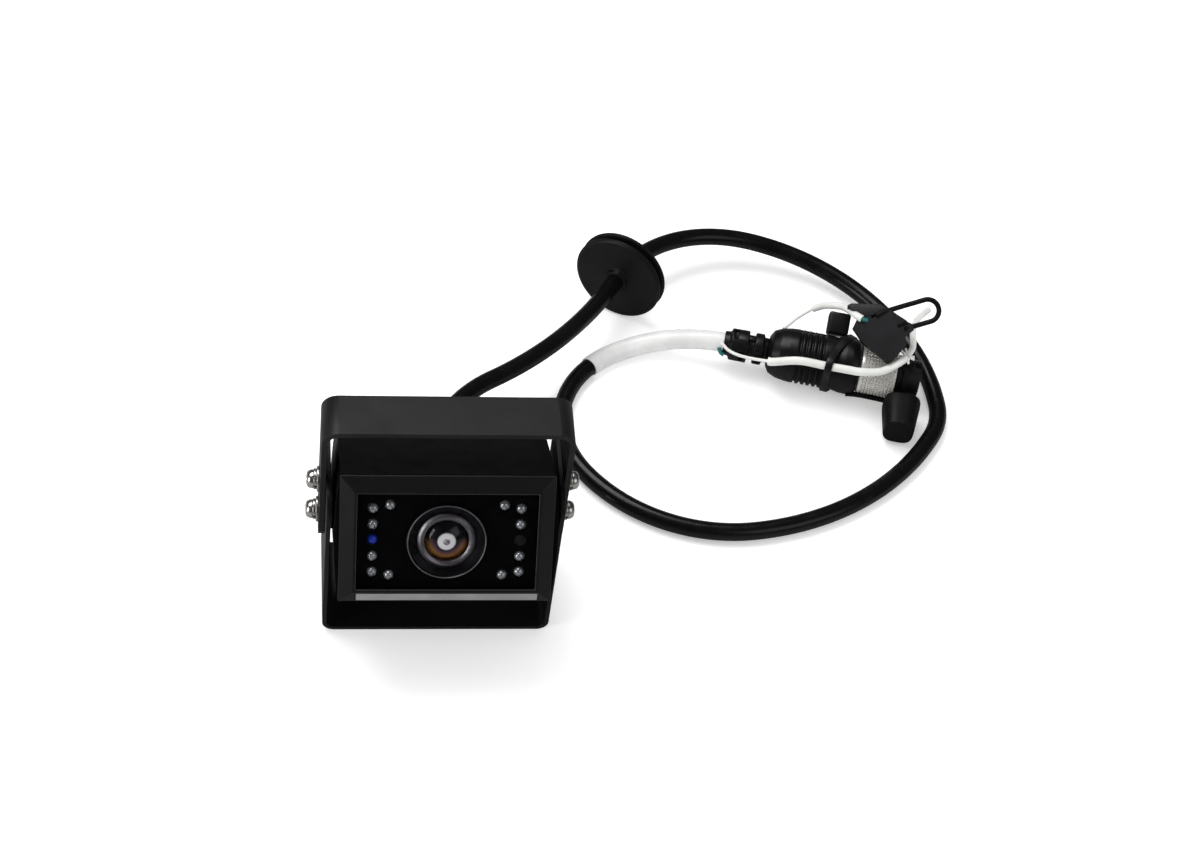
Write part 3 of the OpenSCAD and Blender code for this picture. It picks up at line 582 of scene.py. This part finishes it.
# --- screws ----------------------------------------------------------------------------
ARM_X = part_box("over_strap")[1].x / MM
FLAT_T, SPRING_T, HEAD_T, HEAD_R, SHANK_R = 0.8, 1.0, 2.4, 3.1, 2.0
LOCK_Z = (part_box("lock_screws")[0].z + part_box("lock_screws")[1].z) / 2 / MM
PIVOT_Z = PIVOT.z / MM


def cross_recess(size, depth, turn):
    """The tapered cross that is pressed into a screw head, with its mouth at z 0."""
    tools = []
    for k in range(2):
        blade = [(-size, 0.2), (size, 0.2), (size * 0.9, 0), (size * 0.45, -depth),
                 (-size * 0.45, -depth), (-size * 0.9, 0)]
        tool = prism(blade, -size * 0.17, size * 0.17)
        stand = Matrix.Rotation(turn + k * math.pi / 2, 4, "Z") @ Matrix.Rotation(
            math.pi / 2, 4, "X")
        tools.append(moved(tool, stand))
    return tools


def pan_screw(head_r, head_t, shank_r, shank_l, turn):
    """A pan-head screw along +Z with its head's underside at z 0."""
    profile = [(0, head_t), (head_r * 0.5, head_t * 0.98), (head_r * 0.8, head_t * 0.84),
               (head_r * 0.95, head_t * 0.55), (head_r, head_t * 0.22), (head_r, 0),
               (shank_r, 0), (shank_r, -shank_l), (0, -shank_l)]
    head = lathe(rounded(profile, 0.3, 3), "Z", 40)
    recess = [moved(t, Matrix.Translation((0, 0, head_t))) for t in
              cross_recess(head_r * 0.55, head_t * 0.62, turn)]
    return cut(head, *recess)


def side_screws(name, z, tip_x, turns):
    """One screw a side, its head outward."""
    seat = ARM_X + FLAT_T + SPRING_T
    meshes = []
    for side, turn in zip((-1, 1), turns):
        place = Matrix.Translation((side * seat, 0, z)) @ Matrix.Rotation(
            side * math.pi / 2, 4, "Y")
        meshes.append(moved(pan_screw(HEAD_R, HEAD_T, SHANK_R, seat - tip_x, turn), place))
    piece(name + "_formed", joined(*meshes), "screw_steel", CRADLE, IN_ROW, [name])


def cover_screws():
    """The four small screws of the rear cover."""
    back_y, half_x, half_z, turn = 18.0, 28.85, 16.4, 0.3
    head_r, head_t, shank_r, shank_l = 2.5, 1.5, 1.25, 8
    meshes = []
    for sx in (-1, 1):
        for sz in (-1, 1):
            corner = (sx * half_x, back_y, BODY_MID_Z + sz * half_z)
            place = Matrix.Translation(corner) @ Matrix.Rotation(-math.pi / 2, 4, "X")
            meshes.append(moved(pan_screw(head_r, head_t, shank_r, shank_l, turn), place))
            turn += 0.7
    piece("rear_cover_screws_formed", joined(*meshes), "board_steel", CAMERA, IN_BODY,
          ["rear_cover_screws"])


# --- camera front ----------------------------------------------------------------------
def led_places():
    for sx in (-1, 1):
        for k in (-2, -1, 1, 2):
            yield sx * LED_X, LENS_Z + k * LED_PITCH
        for sz in (-1, 1):
            yield sx * (LED_X - 5.4), LENS_Z + sz * (2 * LED_PITCH + 1.1)


def leds():
    """Each LED is a silvered dome with its dark chip showing off centre."""
    rim_y = MASK_Y + 0.45
    dome = lathe([(LED_R, rim_y + 1.6), (LED_R, rim_y + 0.1), (LED_R - 0.1, rim_y - 0.35),
                  (LED_R - 0.35, rim_y - 0.8), (LED_R - 0.75, rim_y - 1.1),
                  (0.4, rim_y - 1.25), (0, rim_y - 1.28)], "Y", 32)
    chip = moved(lathe([(0, -0.24), (0.3, -0.18), (0.42, 0.0), (0.3, 0.18), (0, 0.24)], "Y", 16),
                 Matrix.Translation((0.42, rim_y - 0.98, -0.5)))
    domes, chips = [], []
    for x, z in led_places():
        place = Matrix.Translation((x, 0, z))
        domes.append(moved(dome, place))
        chips.append(moved(chip, place))
    piece("ir_led_domes", joined(*domes), "led_lens", CAMERA, IN_BODY, ["ir_leds"])
    piece("ir_led_chips", joined(*chips), "sensor_dark", CAMERA, IN_BODY)


def front_lines():
    """Painted highlights round the barrel's edge and the window, and a grey sill plate of painted light."""
    # A thin light ring on the barrel's front edge: a painted highlight.
    rim = [Vector((12.45 * math.cos(a), BARREL_Y + 0.05, LENS_Z + 12.45 * math.sin(a)))
           for a in (2 * math.pi * k / 120 for k in range(121))]
    piece("barrel_rim_highlight", sweep(rim, ring_section(0.2, 10), closed_ends=False), "rim_highlight_grey",
          CAMERA, IN_BODY)
    # A thin grey line round the window's edge: a painted highlight.
    half_w, half_h, r, line = WINDOW_W / 2 - 0.05, WINDOW_H / 2 - 0.05, 0.6, []
    for sx, sz, start in ((1, 1, 0), (-1, 1, 90), (-1, -1, 180), (1, -1, 270)):
        for k in range(5):
            a = math.radians(start + 22.5 * k)
            line.append(Vector((sx * (half_w - r) + r * math.cos(a), CROWN_Y + 0.45,
                                WINDOW_Z + sz * (half_h - r) + r * math.sin(a))))
    line.append(line[0])
    piece("window_edge_highlight", sweep(line, ring_section(0.17, 8), closed_ends=False),
          "edge_highlight_grey", CAMERA, IN_BODY)
    # A light grey plate on the bezel's lower flank, below the window: painted light, where that upward-facing
    # flank catches the overhead light.
    flank = (WINDOW_Z - WINDOW_H / 2) - (BODY_MID_Z - BODY_H / 2) - 0.7
    slope = math.atan2(CROWN, flank)
    plate = bevelled(moved(block(WINDOW_W + 0.3, 0.44, 3.5), Matrix.Translation(
        (0.6, 0.17, -2.35))), 0.1, 2)
    place = (IN_BODY @ Matrix.Translation((0, CROWN_Y, WINDOW_Z - WINDOW_H / 2 - 0.7))
             @ Matrix.Rotation(slope, 4, "X"))
    piece("sill_painted_light_plate", plate, "sill_grey", CAMERA, place, ["sill_strip"])


# --- cable -----------------------------------------------------------------------------
LEAD_RUN = ((14, -19), (58, -36), (167, 23), (0, 14), (51, -69), (77, -15), (77, -64))
GROMMET_AFTER = 3
FLOOR_RUN = ((27, -33), (100, -50), (61, -63), (39, -91))
LAST_R, LAST_ANGLE, LIFT_ROLL = 37.0, 49.0, 23.4
START_R, LEVEL_R = 20.0, 50.0
STEP = 1.2


def run_frames(run, start=None):
    """Frames every STEP along runs of (bend radius, angle) or (0, length) in a plane."""
    here = start or Matrix.Identity(4)
    frames = [here.copy()]
    for radius, amount in run:
        length = amount if radius == 0 else radius * math.radians(abs(amount))
        count = max(2, round(length / STEP))
        for _ in range(count):
            turn = 0.0 if radius == 0 else math.radians(amount) / count
            half = Matrix.Rotation(turn / 2, 4, "Z")
            chord = length / count if radius == 0 else 2 * radius * math.sin(abs(turn) / 2)
            here = here @ half @ Matrix.Translation((chord, 0, 0)) @ half
            frames.append(here.copy())
    return frames


def points_of(frames):
    return [f.to_translation() for f in frames]


def cable_line():
    """The cable's centre line in the row frame, and the index where the grommet sits."""
    tail = [IN_BODY @ Vector((0, y, GLAND_Z)) for y in (24.0, 26.5, 29.0, 31.5, START_Y)]
    tail = [p / MM for p in tail]
    down = (Matrix.Translation(tail[-1]) @ Matrix.Rotation(-TILT, 4, "X")
            @ Matrix.Rotation(math.pi / 2, 4, "Z") @ Matrix.Rotation(math.pi / 2, 4, "X"))
    level = run_frames([(START_R, math.degrees(TILT))], down)
    lead_start = level[-1].to_translation()
    reach = -run_frames(LEAD_RUN)[-1].to_translation().y
    slope = math.asin((lead_start.z - CABLE_R) / reach)
    plane = (Matrix.Translation(lead_start) @ Matrix.Rotation(slope, 4, "Y")
             @ Matrix.Rotation(math.pi / 2, 4, "Z"))
    before = run_frames(LEAD_RUN[:GROMMET_AFTER], plane)
    lead = run_frames(LEAD_RUN, plane)
    end = lead[-1].to_translation()
    floor = run_frames(FLOOR_RUN, Matrix.Translation((end.x, end.y, CABLE_R))
                       @ Matrix.Rotation(-math.pi / 2, 4, "Z"))
    lift = run_frames([(LAST_R, -LAST_ANGLE)],
                      floor[-1] @ Matrix.Rotation(-math.radians(LIFT_ROLL), 4, "X"))
    rise = math.asin(math.sin(math.radians(LAST_ANGLE)) * math.sin(math.radians(LIFT_ROLL)))
    last = (Matrix.Translation(lift[-1].to_translation()) @ Matrix.Rotation(PLUG_AZ, 4, "Z")
            @ Matrix.Rotation(-rise, 4, "Y") @ Matrix.Rotation(math.pi / 2, 4, "X"))
    levelling = run_frames([(LEVEL_R, -math.degrees(rise))], last)
    into_plug = [(AT_PLUG @ Vector((x, 0, 0))) / MM for x in (2, 6, 10, 14, 18, 22)]
    line = tail + points_of(level)[1:] + points_of(lead)[1:] + points_of(floor)[1:]
    label_from = len(line)
    line += points_of(lift)[1:] + points_of(levelling)[1:] + into_plug
    grommet = len(tail) + len(level) - 1 + len(before) - 1 + round(7 / STEP)
    return line, grommet, label_from


def cable():
    """Two tubes that meet inside the grommet: a neck on no body, and the loop on the cradle."""
    line, index, label_from = cable_line()
    section = ring_section(CABLE_R, 32)
    neck = piece("cable_neck", sweep(line[:index + 1], section), "cable_jacket", None, IN_ROW,
                 ["cable_tail"])
    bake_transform(neck)
    piece("cable_loop", sweep(line[index:], section), "cable_jacket", CRADLE, IN_ROW, ["cable"])
    grommet(line, index)
    return line, label_from


def grommet(line, index):
    """Soft grommet: two flanges with a panel groove between them and a tapered neck."""
    bore = CABLE_R + 0.08
    profile = [(bore, -1.2), (4.3, -1.2), (4.6, 0.2), (5.0, 0.6), (16.2, 0.8),
               (17.3, 1.5), (17.1, 2.4), (13.2, 2.7), (13.2, 4.7), (16.9, 5.0), (17.4, 5.8),
               (16.2, 6.7), (7.0, 7.3), (5.2, 9.6), (4.7, 10.2), (bore, 10.2)]
    along = line[index + 1] - line[index - 1]
    piece("wall_grommet_moulded", lathe(rounded(profile, 0.35, 3), "Z", 96), "grommet_rubber",
          CRADLE, SCALE @ turned_to(along, line[index]), ["wall_grommet"])


def label(line, label_from):
    """A plain white film wrapped round the cable, its lap showing as a low step."""
    start, end = label_from - round(8.8 / STEP), len(line) - 6
    points = line[start:end + 1]
    radius = CABLE_R + 0.5
    section = []
    for k in range(40):
        angle = 2 * math.pi * k / 40
        lap = 0.16 if k < 7 else 0.0
        section.append(((radius + lap) * math.cos(angle), (radius + lap) * math.sin(angle)))
    inner = ring_section(CABLE_R + 0.12, 40)
    outside = sweep(points, section, closed_ends=False)
    inside = sweep(points, inner, closed_ends=False)
    mesh = joined(outside, inside)
    closed = bmesh.new()
    closed.from_mesh(mesh)
    n = len(section)
    count = len(outside.vertices)
    closed.verts.ensure_lookup_table()
    for offset in (0, count - n):
        for k in range(n):
            a, b = offset + k, offset + (k + 1) % n
            closed.faces.new([closed.verts[i] for i in (a, b, b + count, a + count)])
    bmesh.ops.recalc_face_normals(closed, faces=closed.faces)
    closed.to_mesh(mesh)
    closed.free()
    piece("label_sleeve_film", mesh, "label_white", CRADLE, IN_ROW, ["label_sleeve"])


# --- plug ------------------------------------------------------------------------------
def strain_boot():
    """Moulded boot: thick collars on a thin neck, joined by webs and notched at the sides."""
    bore = CABLE_R + 0.08
    outline = [(bore, 0), (4.4, 0), (4.6, 2.2), (5.9, 2.6), (6.0, 9.0), (4.3, 9.2),
               (4.3, 11.2), (5.8, 11.4), (5.8, 14.6), (4.6, 14.8), (4.6, GRIP_X), (bore, GRIP_X)]
    body = lathe(rounded(outline, 0.45), "X", 64)
    webs = [moved(block(3.2, 2.2, 2.0), Matrix.Translation((10.2, 0, side * 4.6)))
            for side in (-1, 1)]
    tools = []
    for x, turns in ((4.2, (0, 2)), (7.0, (1, 3)), (13.0, (1, 3))):
        for quarter in turns:
            tools.append(moved(block(1.5, 4.2, 2.6), Matrix.Rotation(quarter * math.pi / 2, 4, "X")
                               @ Matrix.Translation((x, 0, 5.9))))
    mesh = bevelled(joined(cut(body, *tools), *webs), 0.25, 2, 50)
    piece("strain_boot_moulded", mesh, "plug_rubber", CRADLE, AT_PLUG, ["strain_boot"])


def plug_grip():
    """Moulded grip with a rounded shoulder, ring grooves and a swelling at the front."""
    ribs_x, end_x, bore = GRIP_X + 11, GRIP_X + GRIP_L, CABLE_R + 0.08
    outline = [(bore, GRIP_X), (5.6, GRIP_X), (7.9, GRIP_X + 1.4), (9.2, GRIP_X + 4.2),
               (GRIP_R - 0.2, GRIP_X + 7.5), (GRIP_R, GRIP_X + 10)]
    for k in range(5):
        x = ribs_x + k * 2.1
        outline += [(GRIP_R, x - 0.15), (GRIP_R - 0.85, x + 0.1), (GRIP_R - 0.85, x + 0.75),
                    (GRIP_R, x + 1.0)]
    outline += [(GRIP_R - 0.1, ribs_x + 12), (GRIP_R - 0.3, end_x - 9),
                (GRIP_R + 0.4, end_x - 5.6), (GRIP_R + 0.5, end_x - 3), (GRIP_R + 0.1, end_x - 1),
                (9.2, end_x), (NOSE_R + 0.05, end_x), (NOSE_R + 0.05, GRIP_X + 14),
                (bore, GRIP_X + 12)]
    body = lathe(rounded(outline, 0.3, 3), "X", 96)
    rib_parts = []
    for side in (-1, 1):
        rail = block(10.6, 1.5, 1.0)
        place = (Matrix.Rotation(side * math.radians(62), 4, "X")
                 @ Matrix.Translation((ribs_x + 4.6, 0, GRIP_R - 0.45)))
        rib_parts.append(moved(rail, place))
    piece("plug_grip_moulded", joined(body, *rib_parts), "plug_rubber", CRADLE, AT_PLUG,
          ["plug_grip"])


def coupling_ring():
    """Nickel ring with a fine square knurl between two polished bands."""
    teeth, rows, depth, steps_per_tooth = 44, 9, 0.36, 6
    first, last = 1.9, RING_L - 1.0
    profile = [(NOSE_R + 0.05, RING_X), (RING_R - 0.75, RING_X), (RING_R - 0.15, RING_X + 0.5),
               (RING_R, RING_X + 0.9), (RING_R, RING_X + 1.5), (RING_R - 0.3, RING_X + 1.7)]
    raised = set()
    pitch = (last - first) / rows
    for row in range(rows):
        x = RING_X + first + row * pitch
        for t, high in ((0.1, 0), (0.3, 1), (0.75, 1), (0.95, 0)):
            if high:
                raised.add(len(profile))
            profile.append((RING_R - (0 if high else depth), x + t * pitch))
    profile += [(RING_R - 0.3, RING_X + last + 0.2), (RING_R, RING_X + last + 0.4),
                (RING_R - 0.1, RING_X + RING_L - 0.4), (RING_R - 0.7, RING_X + RING_L),
                (NOSE_R + 0.05, RING_X + RING_L)]

    def wave(angle, i):
        if i not in raised:
            return 1.0
        phase = angle * teeth / (2 * math.pi) % 1.0
        return 1.0 if 0.2 < phase < 0.8 else 1.0 - depth / RING_R

    mesh = lathe(profile, "X", teeth * steps_per_tooth, wave)
    piece("coupling_ring_knurled", mesh, "knurled_ring", RING, AT_PLUG, ["coupling_ring"], smooth=25)


def plug_nose():
    """Black nose sleeve with a shoulder and a keyway at its mouth."""
    start, shoulder = GRIP_X + 15, RING_X + RING_L + 0.3
    profile = [(5.6, start), (NOSE_R, start), (NOSE_R, shoulder), (7.5, shoulder),
               (7.5, shoulder + 1.3), (6.9, shoulder + 1.5), (6.9, NOSE_END - 0.4),
               (6.6, NOSE_END), (5.8, NOSE_END), (5.6, NOSE_END - 0.3), (5.6, start)]
    mesh = lathe(rounded(profile[:-1], 0.15, 2) + [profile[-1]], "X", 80)
    key = moved(block(5, 2.4, 4), Matrix.Translation((NOSE_END, 0, 6.6)))
    piece("plug_nose_turned", cut(mesh, key), "holder_black", CRADLE, AT_PLUG, ["plug_nose"])


# --- caps, cord and ties ---------------------------------------------------------------
CAP_R, CAP_X, CAP_Y = 6.9, NOSE_END - 5, -10.6
AT_CAP = (AT_PLUG @ Matrix.Translation((CAP_X, CAP_Y, CAP_R - PLUG.z / MM))
          @ Matrix.Rotation(math.pi / 2, 4, "X"))
ON_FLAP = (AT_PLUG @ Matrix.Translation((RING_X + 10.2, -5.6, RING_R + 3.7))
           @ Matrix.Rotation(math.radians(40), 4, "X"))
FLAP_T = 5.0


def squared(radius, angle, power=3.2):
    """A circle's radius pushed out towards a rounded square."""
    c, d = abs(math.cos(angle)), abs(math.sin(angle))
    return radius / (c ** power + d ** power) ** (1 / power) / 1.06


def dust_cap():
    """Soft squared cap, hollow towards the plug, with a flat end inside a low rim."""
    profile = [(4.4, 11.0), (4.4, 0.3), (4.7, 0.0), (6.8, 0.0), (7.2, 0.6), (7.1, 2.6),
               (5.9, 13.6), (5.6, 14.3), (5.0, 14.3), (4.8, 14.0), (0, 13.9)]
    outer = lathe(rounded(profile, 0.4, 3), "Z", 96, lambda angle, i: squared(1.0, angle))
    floor = lathe([(4.4, 11.0), (0, 11.0)], "Z", 96, lambda angle, i: squared(1.0, angle))
    piece("dust_cap_moulded", joined(outer, floor), "cap_rubber", CRADLE, AT_CAP, ["dust_cap"])


def dust_cap_tether():
    """Low ring on the nose, and a thin strap that runs under the ring to the grip."""
    x0 = NOSE_END - 6.4
    ring = lathe(rounded([(NOSE_R - 0.05, x0), (7.8, x0), (8.0, x0 + 1), (7.8, x0 + 2),
                          (NOSE_R - 0.05, x0 + 2), (NOSE_R - 0.05, x0)], 0.25, 3), "X", 64)
    link = sweep(curve([(x0 + 1, -7.2, -1.6), (x0 + 1, -8.8, -2.0), (x0 + 1, -10.0, -2.2),
                        (x0 + 1, -11.2, -2.2)], 6), box_section(2.0, 1.4, 0.4))
    strap = sweep(curve([(47.5, -8.8, -5.6), (51.5, -8.6, -5.2), (57, -8.6, -5.2),
                         (62, -8.9, -5.2), (65.5, -10.0, -4.8), (67.5, -12.0, -4.2)], 8),
                  box_section(2.0, 1.1, 0.3))
    piece("dust_cap_tether_moulded", joined(ring, link, strap), "cap_rubber", CRADLE, AT_PLUG,
          ["dust_cap_tether"])


def square_cap():
    """Rubber slab that leans on the ring: a flat face, a bent-back flap and three slots."""
    face = [(-0.6, -1.1), (0.7, 0.1), (4.4, 6.6), (3.5, 9.5), (6.1, 12.5), (5.1, 14.5),
            (-3.6, 18.1), (-6.0, 17.3), (-9.5, 15.1), (-14.5, 13.6), (-15.8, 9.0), (-10.8, 4.0)]
    flap = [(-6.0, 17.3), (-3.6, 18.1), (-7.6, 19.9), (-18.1, 18.4), (-19.6, 17.2),
            (-14.5, 13.6), (-9.5, 15.1)]
    slots = []
    for a, b, width in (((-10.2, 14.5), (-5.4, 18.0), 1.5), ((0.0, 12.7), (3.9, 15.0), 1.3),
                        ((-13.2, 12.1), (-11.2, 13.2), 1.1)):
        a, b = Vector(a), Vector(b)
        along = b - a
        slots.append(moved(block(along.length, width, 3.2), Matrix.Translation(
            ((a.x + b.x) / 2, (a.y + b.y) / 2, 0)) @ Matrix.Rotation(
            math.atan2(along.y, along.x), 4, "Z")))
    slab = cut(prism(face, -FLAP_T, 0), *slots)
    lid = prism(flap, -FLAP_T + 0.6, 0)
    hinge = Vector((-10.0, 15.2, 0))
    fold = Matrix.Rotation(math.radians(-16), 4, Vector((0.93, 0.36, 0)))
    lid.transform(Matrix.Translation(hinge) @ fold @ Matrix.Translation(-hinge))
    parts = [bevelled(slab, 0.55, 3, 25), bevelled(lid, 0.5, 3, 25)]
    piece("square_cap_moulded", joined(*parts), "flap_rubber", CRADLE, ON_FLAP, ["square_cap"])


def cord_loop():
    """A cord whose two legs end in the square cap."""
    half, place = 4.1, (ON_FLAP @ Matrix.Translation((9.9, 20.6, -FLAP_T / 2))
                        @ Matrix.Rotation(math.radians(27), 4, "Z"))
    points = [Vector((-19, half - 0.6, 2.6)), Vector((-15.5, half - 0.2, 2.0)),
              Vector((-9, half, 0.6)), Vector((-4, half, 0))]
    points += [Vector((half * math.sin(a), half * math.cos(a), 0))
               for a in (math.pi * k / 14 for k in range(15))]
    points += [Vector((-4, -half, 0.2)), Vector((-8, -half, 1.2)), Vector((-10.5, -half, 2.4))]
    piece("square_cap_cord_loop", sweep(curve(points, 4), ring_section(0.95, 20)),
          "cap_rubber", CRADLE, place, ["square_cap_cord"])


SLEEVE_R, THREAD_R = 1.5, 0.6
WIRE_PATH = ((17.0, -10.6, 5.8), (19, -10.8, 6.2), (28, -9.6, 8.0), (38, -9.8, 8.2),
             (46, -9.9, 8.4), (51, -9.7, 8.4), (58, -7.9, 8.6), (63, -4.6, 10.2),
             (66.4, -0.6, 10.4))
KNOT = Vector((67.0, 1.0, 9.9))


def white_wire():
    """White sleeving along the plug, the thin threads at its ends and a frayed knot."""
    rng = random.Random(7)
    parts = [sweep(curve(WIRE_PATH, 10), ring_section(SLEEVE_R, 24))]
    thread = ring_section(THREAD_R, 12)
    parts.append(sweep(curve([(-1.2, -3.2, 3.4), (2, -5.4, 2.2), (6, -7.2, 2.4),
                              (11, -8.6, 3.4), (15, -9.8, 4.8), (19, -10.8, 6.2)], 8), thread))
    parts.append(sweep(curve([KNOT, (68.3, 4.0, 10.6), (68.6, 7.4, 10.4), (68.2, 12.5, 9.6),
                              (68.4, 18.0, 8.6), (70.0, 24.0, 7.2), (73.6, 30.4, 6.2)], 8),
                       ring_section(1.15, 20)))
    parts.append(sweep(curve([(30.6, 20.6, 5.2), (34.6, 20.2, 8.4), (40.0, 16.4, 13.4),
                              (42.8, 10.4, 18.4), (45.4, 5.6, 21.2), (47.6, 4.2, 21.4)], 8),
                       ring_section(1.35, 20)))
    parts.append(sweep(curve([(21.0, 8.2, 4.6), (22.6, 11.6, 3.6), (25.6, 16.4, 3.4),
                              (30.6, 20.6, 5.2), (33.0, 20.7, 7.0)], 8), thread))
    for k in range(22):
        a, b = rng.uniform(0, 2 * math.pi), rng.uniform(-0.3, 1.0)
        out = Vector((math.cos(a), math.sin(a), 0.5 * b)).normalized()
        bend = Vector((rng.uniform(-1, 1), rng.uniform(-1, 1), rng.uniform(0, 1)))
        line = curve([KNOT - out * 0.9, KNOT + out * 1.3 + bend * 0.5,
                      KNOT + out * rng.uniform(2.2, 3.6) + bend], 5)
        parts.append(sweep(line, ring_section(0.45, 8)))
    piece("white_tie_wire", joined(*parts), "tie_white", CRADLE, AT_PLUG, ["white_tie"])


def tie_cores():
    """Short green stubs of cord where the sleeving ends."""
    stubs = [curve([(47.2, 4.4, 21.5), (48.4, 4.1, 21.3), (49.6, 4.6, 20.9)], 6),
             curve([(-1.4, -3.6, 0.6), (-0.6, -4.6, -0.6), (0.8, -5.2, -1.2)], 6)]
    piece("tie_cord_stubs", joined(*[sweep(line, ring_section(0.75, 14)) for line in stubs]),
          "tie_green", CRADLE, AT_PLUG)


def band_tie():
    """Nylon tie slung aslant round grip and wire, with its ratchet head and cut tail."""
    width, thick = 2.7, 0.9
    loop = []
    for k in range(96):
        angle = 2 * math.pi * k / 96
        pull = max(0.0, math.cos(angle - math.radians(139))) ** 16
        radius = GRIP_R + 0.55 + 0.45 * max(0.0, math.cos(angle)) + 4.1 * pull
        y, z = radius * math.cos(angle), radius * math.sin(angle)
        ahead = 3.9 + 0.5 * y
        x = 38.5 + (ahead + math.sqrt(ahead * ahead + 3.0)) / 2
        loop.append(Vector((x, y, z)))
    loop.append(loop[0])
    band = sweep(loop, box_section(width, thick, 0.25), closed_ends=False)
    head = bevelled(block(8, 8.4, 6), 1.0, 4)
    slot = moved(block(10, 2.6, 1.6), Matrix.Translation((0, 1.2, 0)))
    head = moved(cut(head, slot), Matrix.Rotation(math.radians(33), 4, "X")
                 @ Matrix.Translation((GRIP_X + 24.0, GRIP_R + 4.6, 0)))
    piece("band_tie_formed", joined(band, head), "tie_black", CRADLE, AT_PLUG, ["band_tie"])


# --- studio ----------------------------------------------------------------------------
def studio():
    bpy.ops.mesh.primitive_plane_add(size=12, location=(0, 0, -0.0002))
    floor = bpy.context.object
    floor.name = "floor"
    s = Shader("floor_paper")
    mirrored = s.node("ShaderNodeLightPath").outputs["Is Glossy Ray"]
    s.set(Base_Color=s.mix(mirrored, (0.86, 0.86, 0.86), (0.3, 0.3, 0.3)), Roughness=0.9,
          Specular_IOR_Level=0.1, Emission_Color=rgba((1, 1, 1)),
          Emission_Strength=s.ramp(mirrored, 0, 1, 0.3, 0.02))
    floor.data.materials.append(s.material)

    world = bpy.data.worlds.new("studio")
    world.use_nodes = True
    tree = world.node_tree
    rays = tree.nodes.new("ShaderNodeLightPath")
    strength = tree.nodes.new("ShaderNodeMapRange")
    strength.inputs["To Min"].default_value = 0.72
    strength.inputs["To Max"].default_value = 0.045
    tree.links.new(rays.outputs["Is Glossy Ray"], strength.inputs["Value"])
    tree.links.new(strength.outputs["Result"], tree.nodes["Background"].inputs["Strength"])
    tree.nodes["Background"].inputs["Color"].default_value = (1, 1, 1, 1)
    bpy.context.scene.world = world

    def softbox(name, place, target, size, power):
        light = bpy.data.lights.new(name, "AREA")
        light.shape = "RECTANGLE"
        light.size, light.size_y = size
        light.energy = power
        lamp = bpy.data.objects.new(name, light)
        lamp.location = place
        lamp.rotation_euler = (Vector(target) - Vector(place)).to_track_quat("-Z", "Y").to_euler()
        bpy.context.scene.collection.objects.link(lamp)

    softbox("key", (-0.35, 0.55, 1.5), (0.05, 0.05, 0.02), (1.2, 0.7), 17)
    softbox("fill", (0.9, -0.9, 0.9), (0.05, 0.05, 0.02), (0.9, 0.9), 3)
    softbox("left", (-1.2, -0.55, 0.4), (0.0, 0.0, 0.04), (0.5, 1.0), 9)


def camera():
    """The lens and the place it is seen from."""
    data = bpy.data.cameras.new("camera")
    data.lens, data.sensor_width, data.sensor_fit = 76.2, 36.0, "HORIZONTAL"
    data.clip_start = 0.05
    eye = Vector((-59.64, -519.98, 694.38)) * MM
    forward = Vector((0.13341, 0.64249, -0.75474)).normalized()
    up = Vector((-0.00823, 0.76223, 0.64742))
    right = forward.cross(up).normalized()
    up = right.cross(forward)
    obj = bpy.data.objects.new("camera", data)
    obj.matrix_world = Matrix((
        (right.x, up.x, -forward.x, eye.x), (right.y, up.y, -forward.y, eye.y),
        (right.z, up.z, -forward.z, eye.z), (0, 0, 0, 1)))
    bpy.context.scene.collection.objects.link(obj)
    bpy.context.scene.camera = obj


# --- everything ------------------------------------------------------------------------
finish_nodes()
for name, width in (("mounting_cradle", 0.45), ("over_strap", 0.4), ("body_shell", 0.5),
                    ("bezel_frame", 0.4), ("rear_cover", 0.6), ("flat_washers", 0.15),
                    ("spring_washers", 0.12), ("gland_body", 0.35), ("gland_cap", 0.4),
                    ("gland_locknut", 0.3), ("lens_barrel", 0.08), ("retaining_ring", 0.08),
                    ("mask_panel", 0.1)):
    soften(name, width)
side_screws("pivot_screws", PIVOT_Z, 30.5, (0.3, 1.1))
side_screws("lock_screws", LOCK_Z, 36.5, (0.9, 0.1))
cover_screws()
leds()
front_lines()
CABLE_LINE, LABEL_FROM = cable()
label(CABLE_LINE, LABEL_FROM)
strain_boot()
plug_grip()
coupling_ring()
plug_nose()
dust_cap()
dust_cap_tether()
square_cap()
cord_loop()
white_wire()
tie_cores()
band_tie()
studio()
camera()
bpy.context.scene.view_settings.view_transform = "Standard"
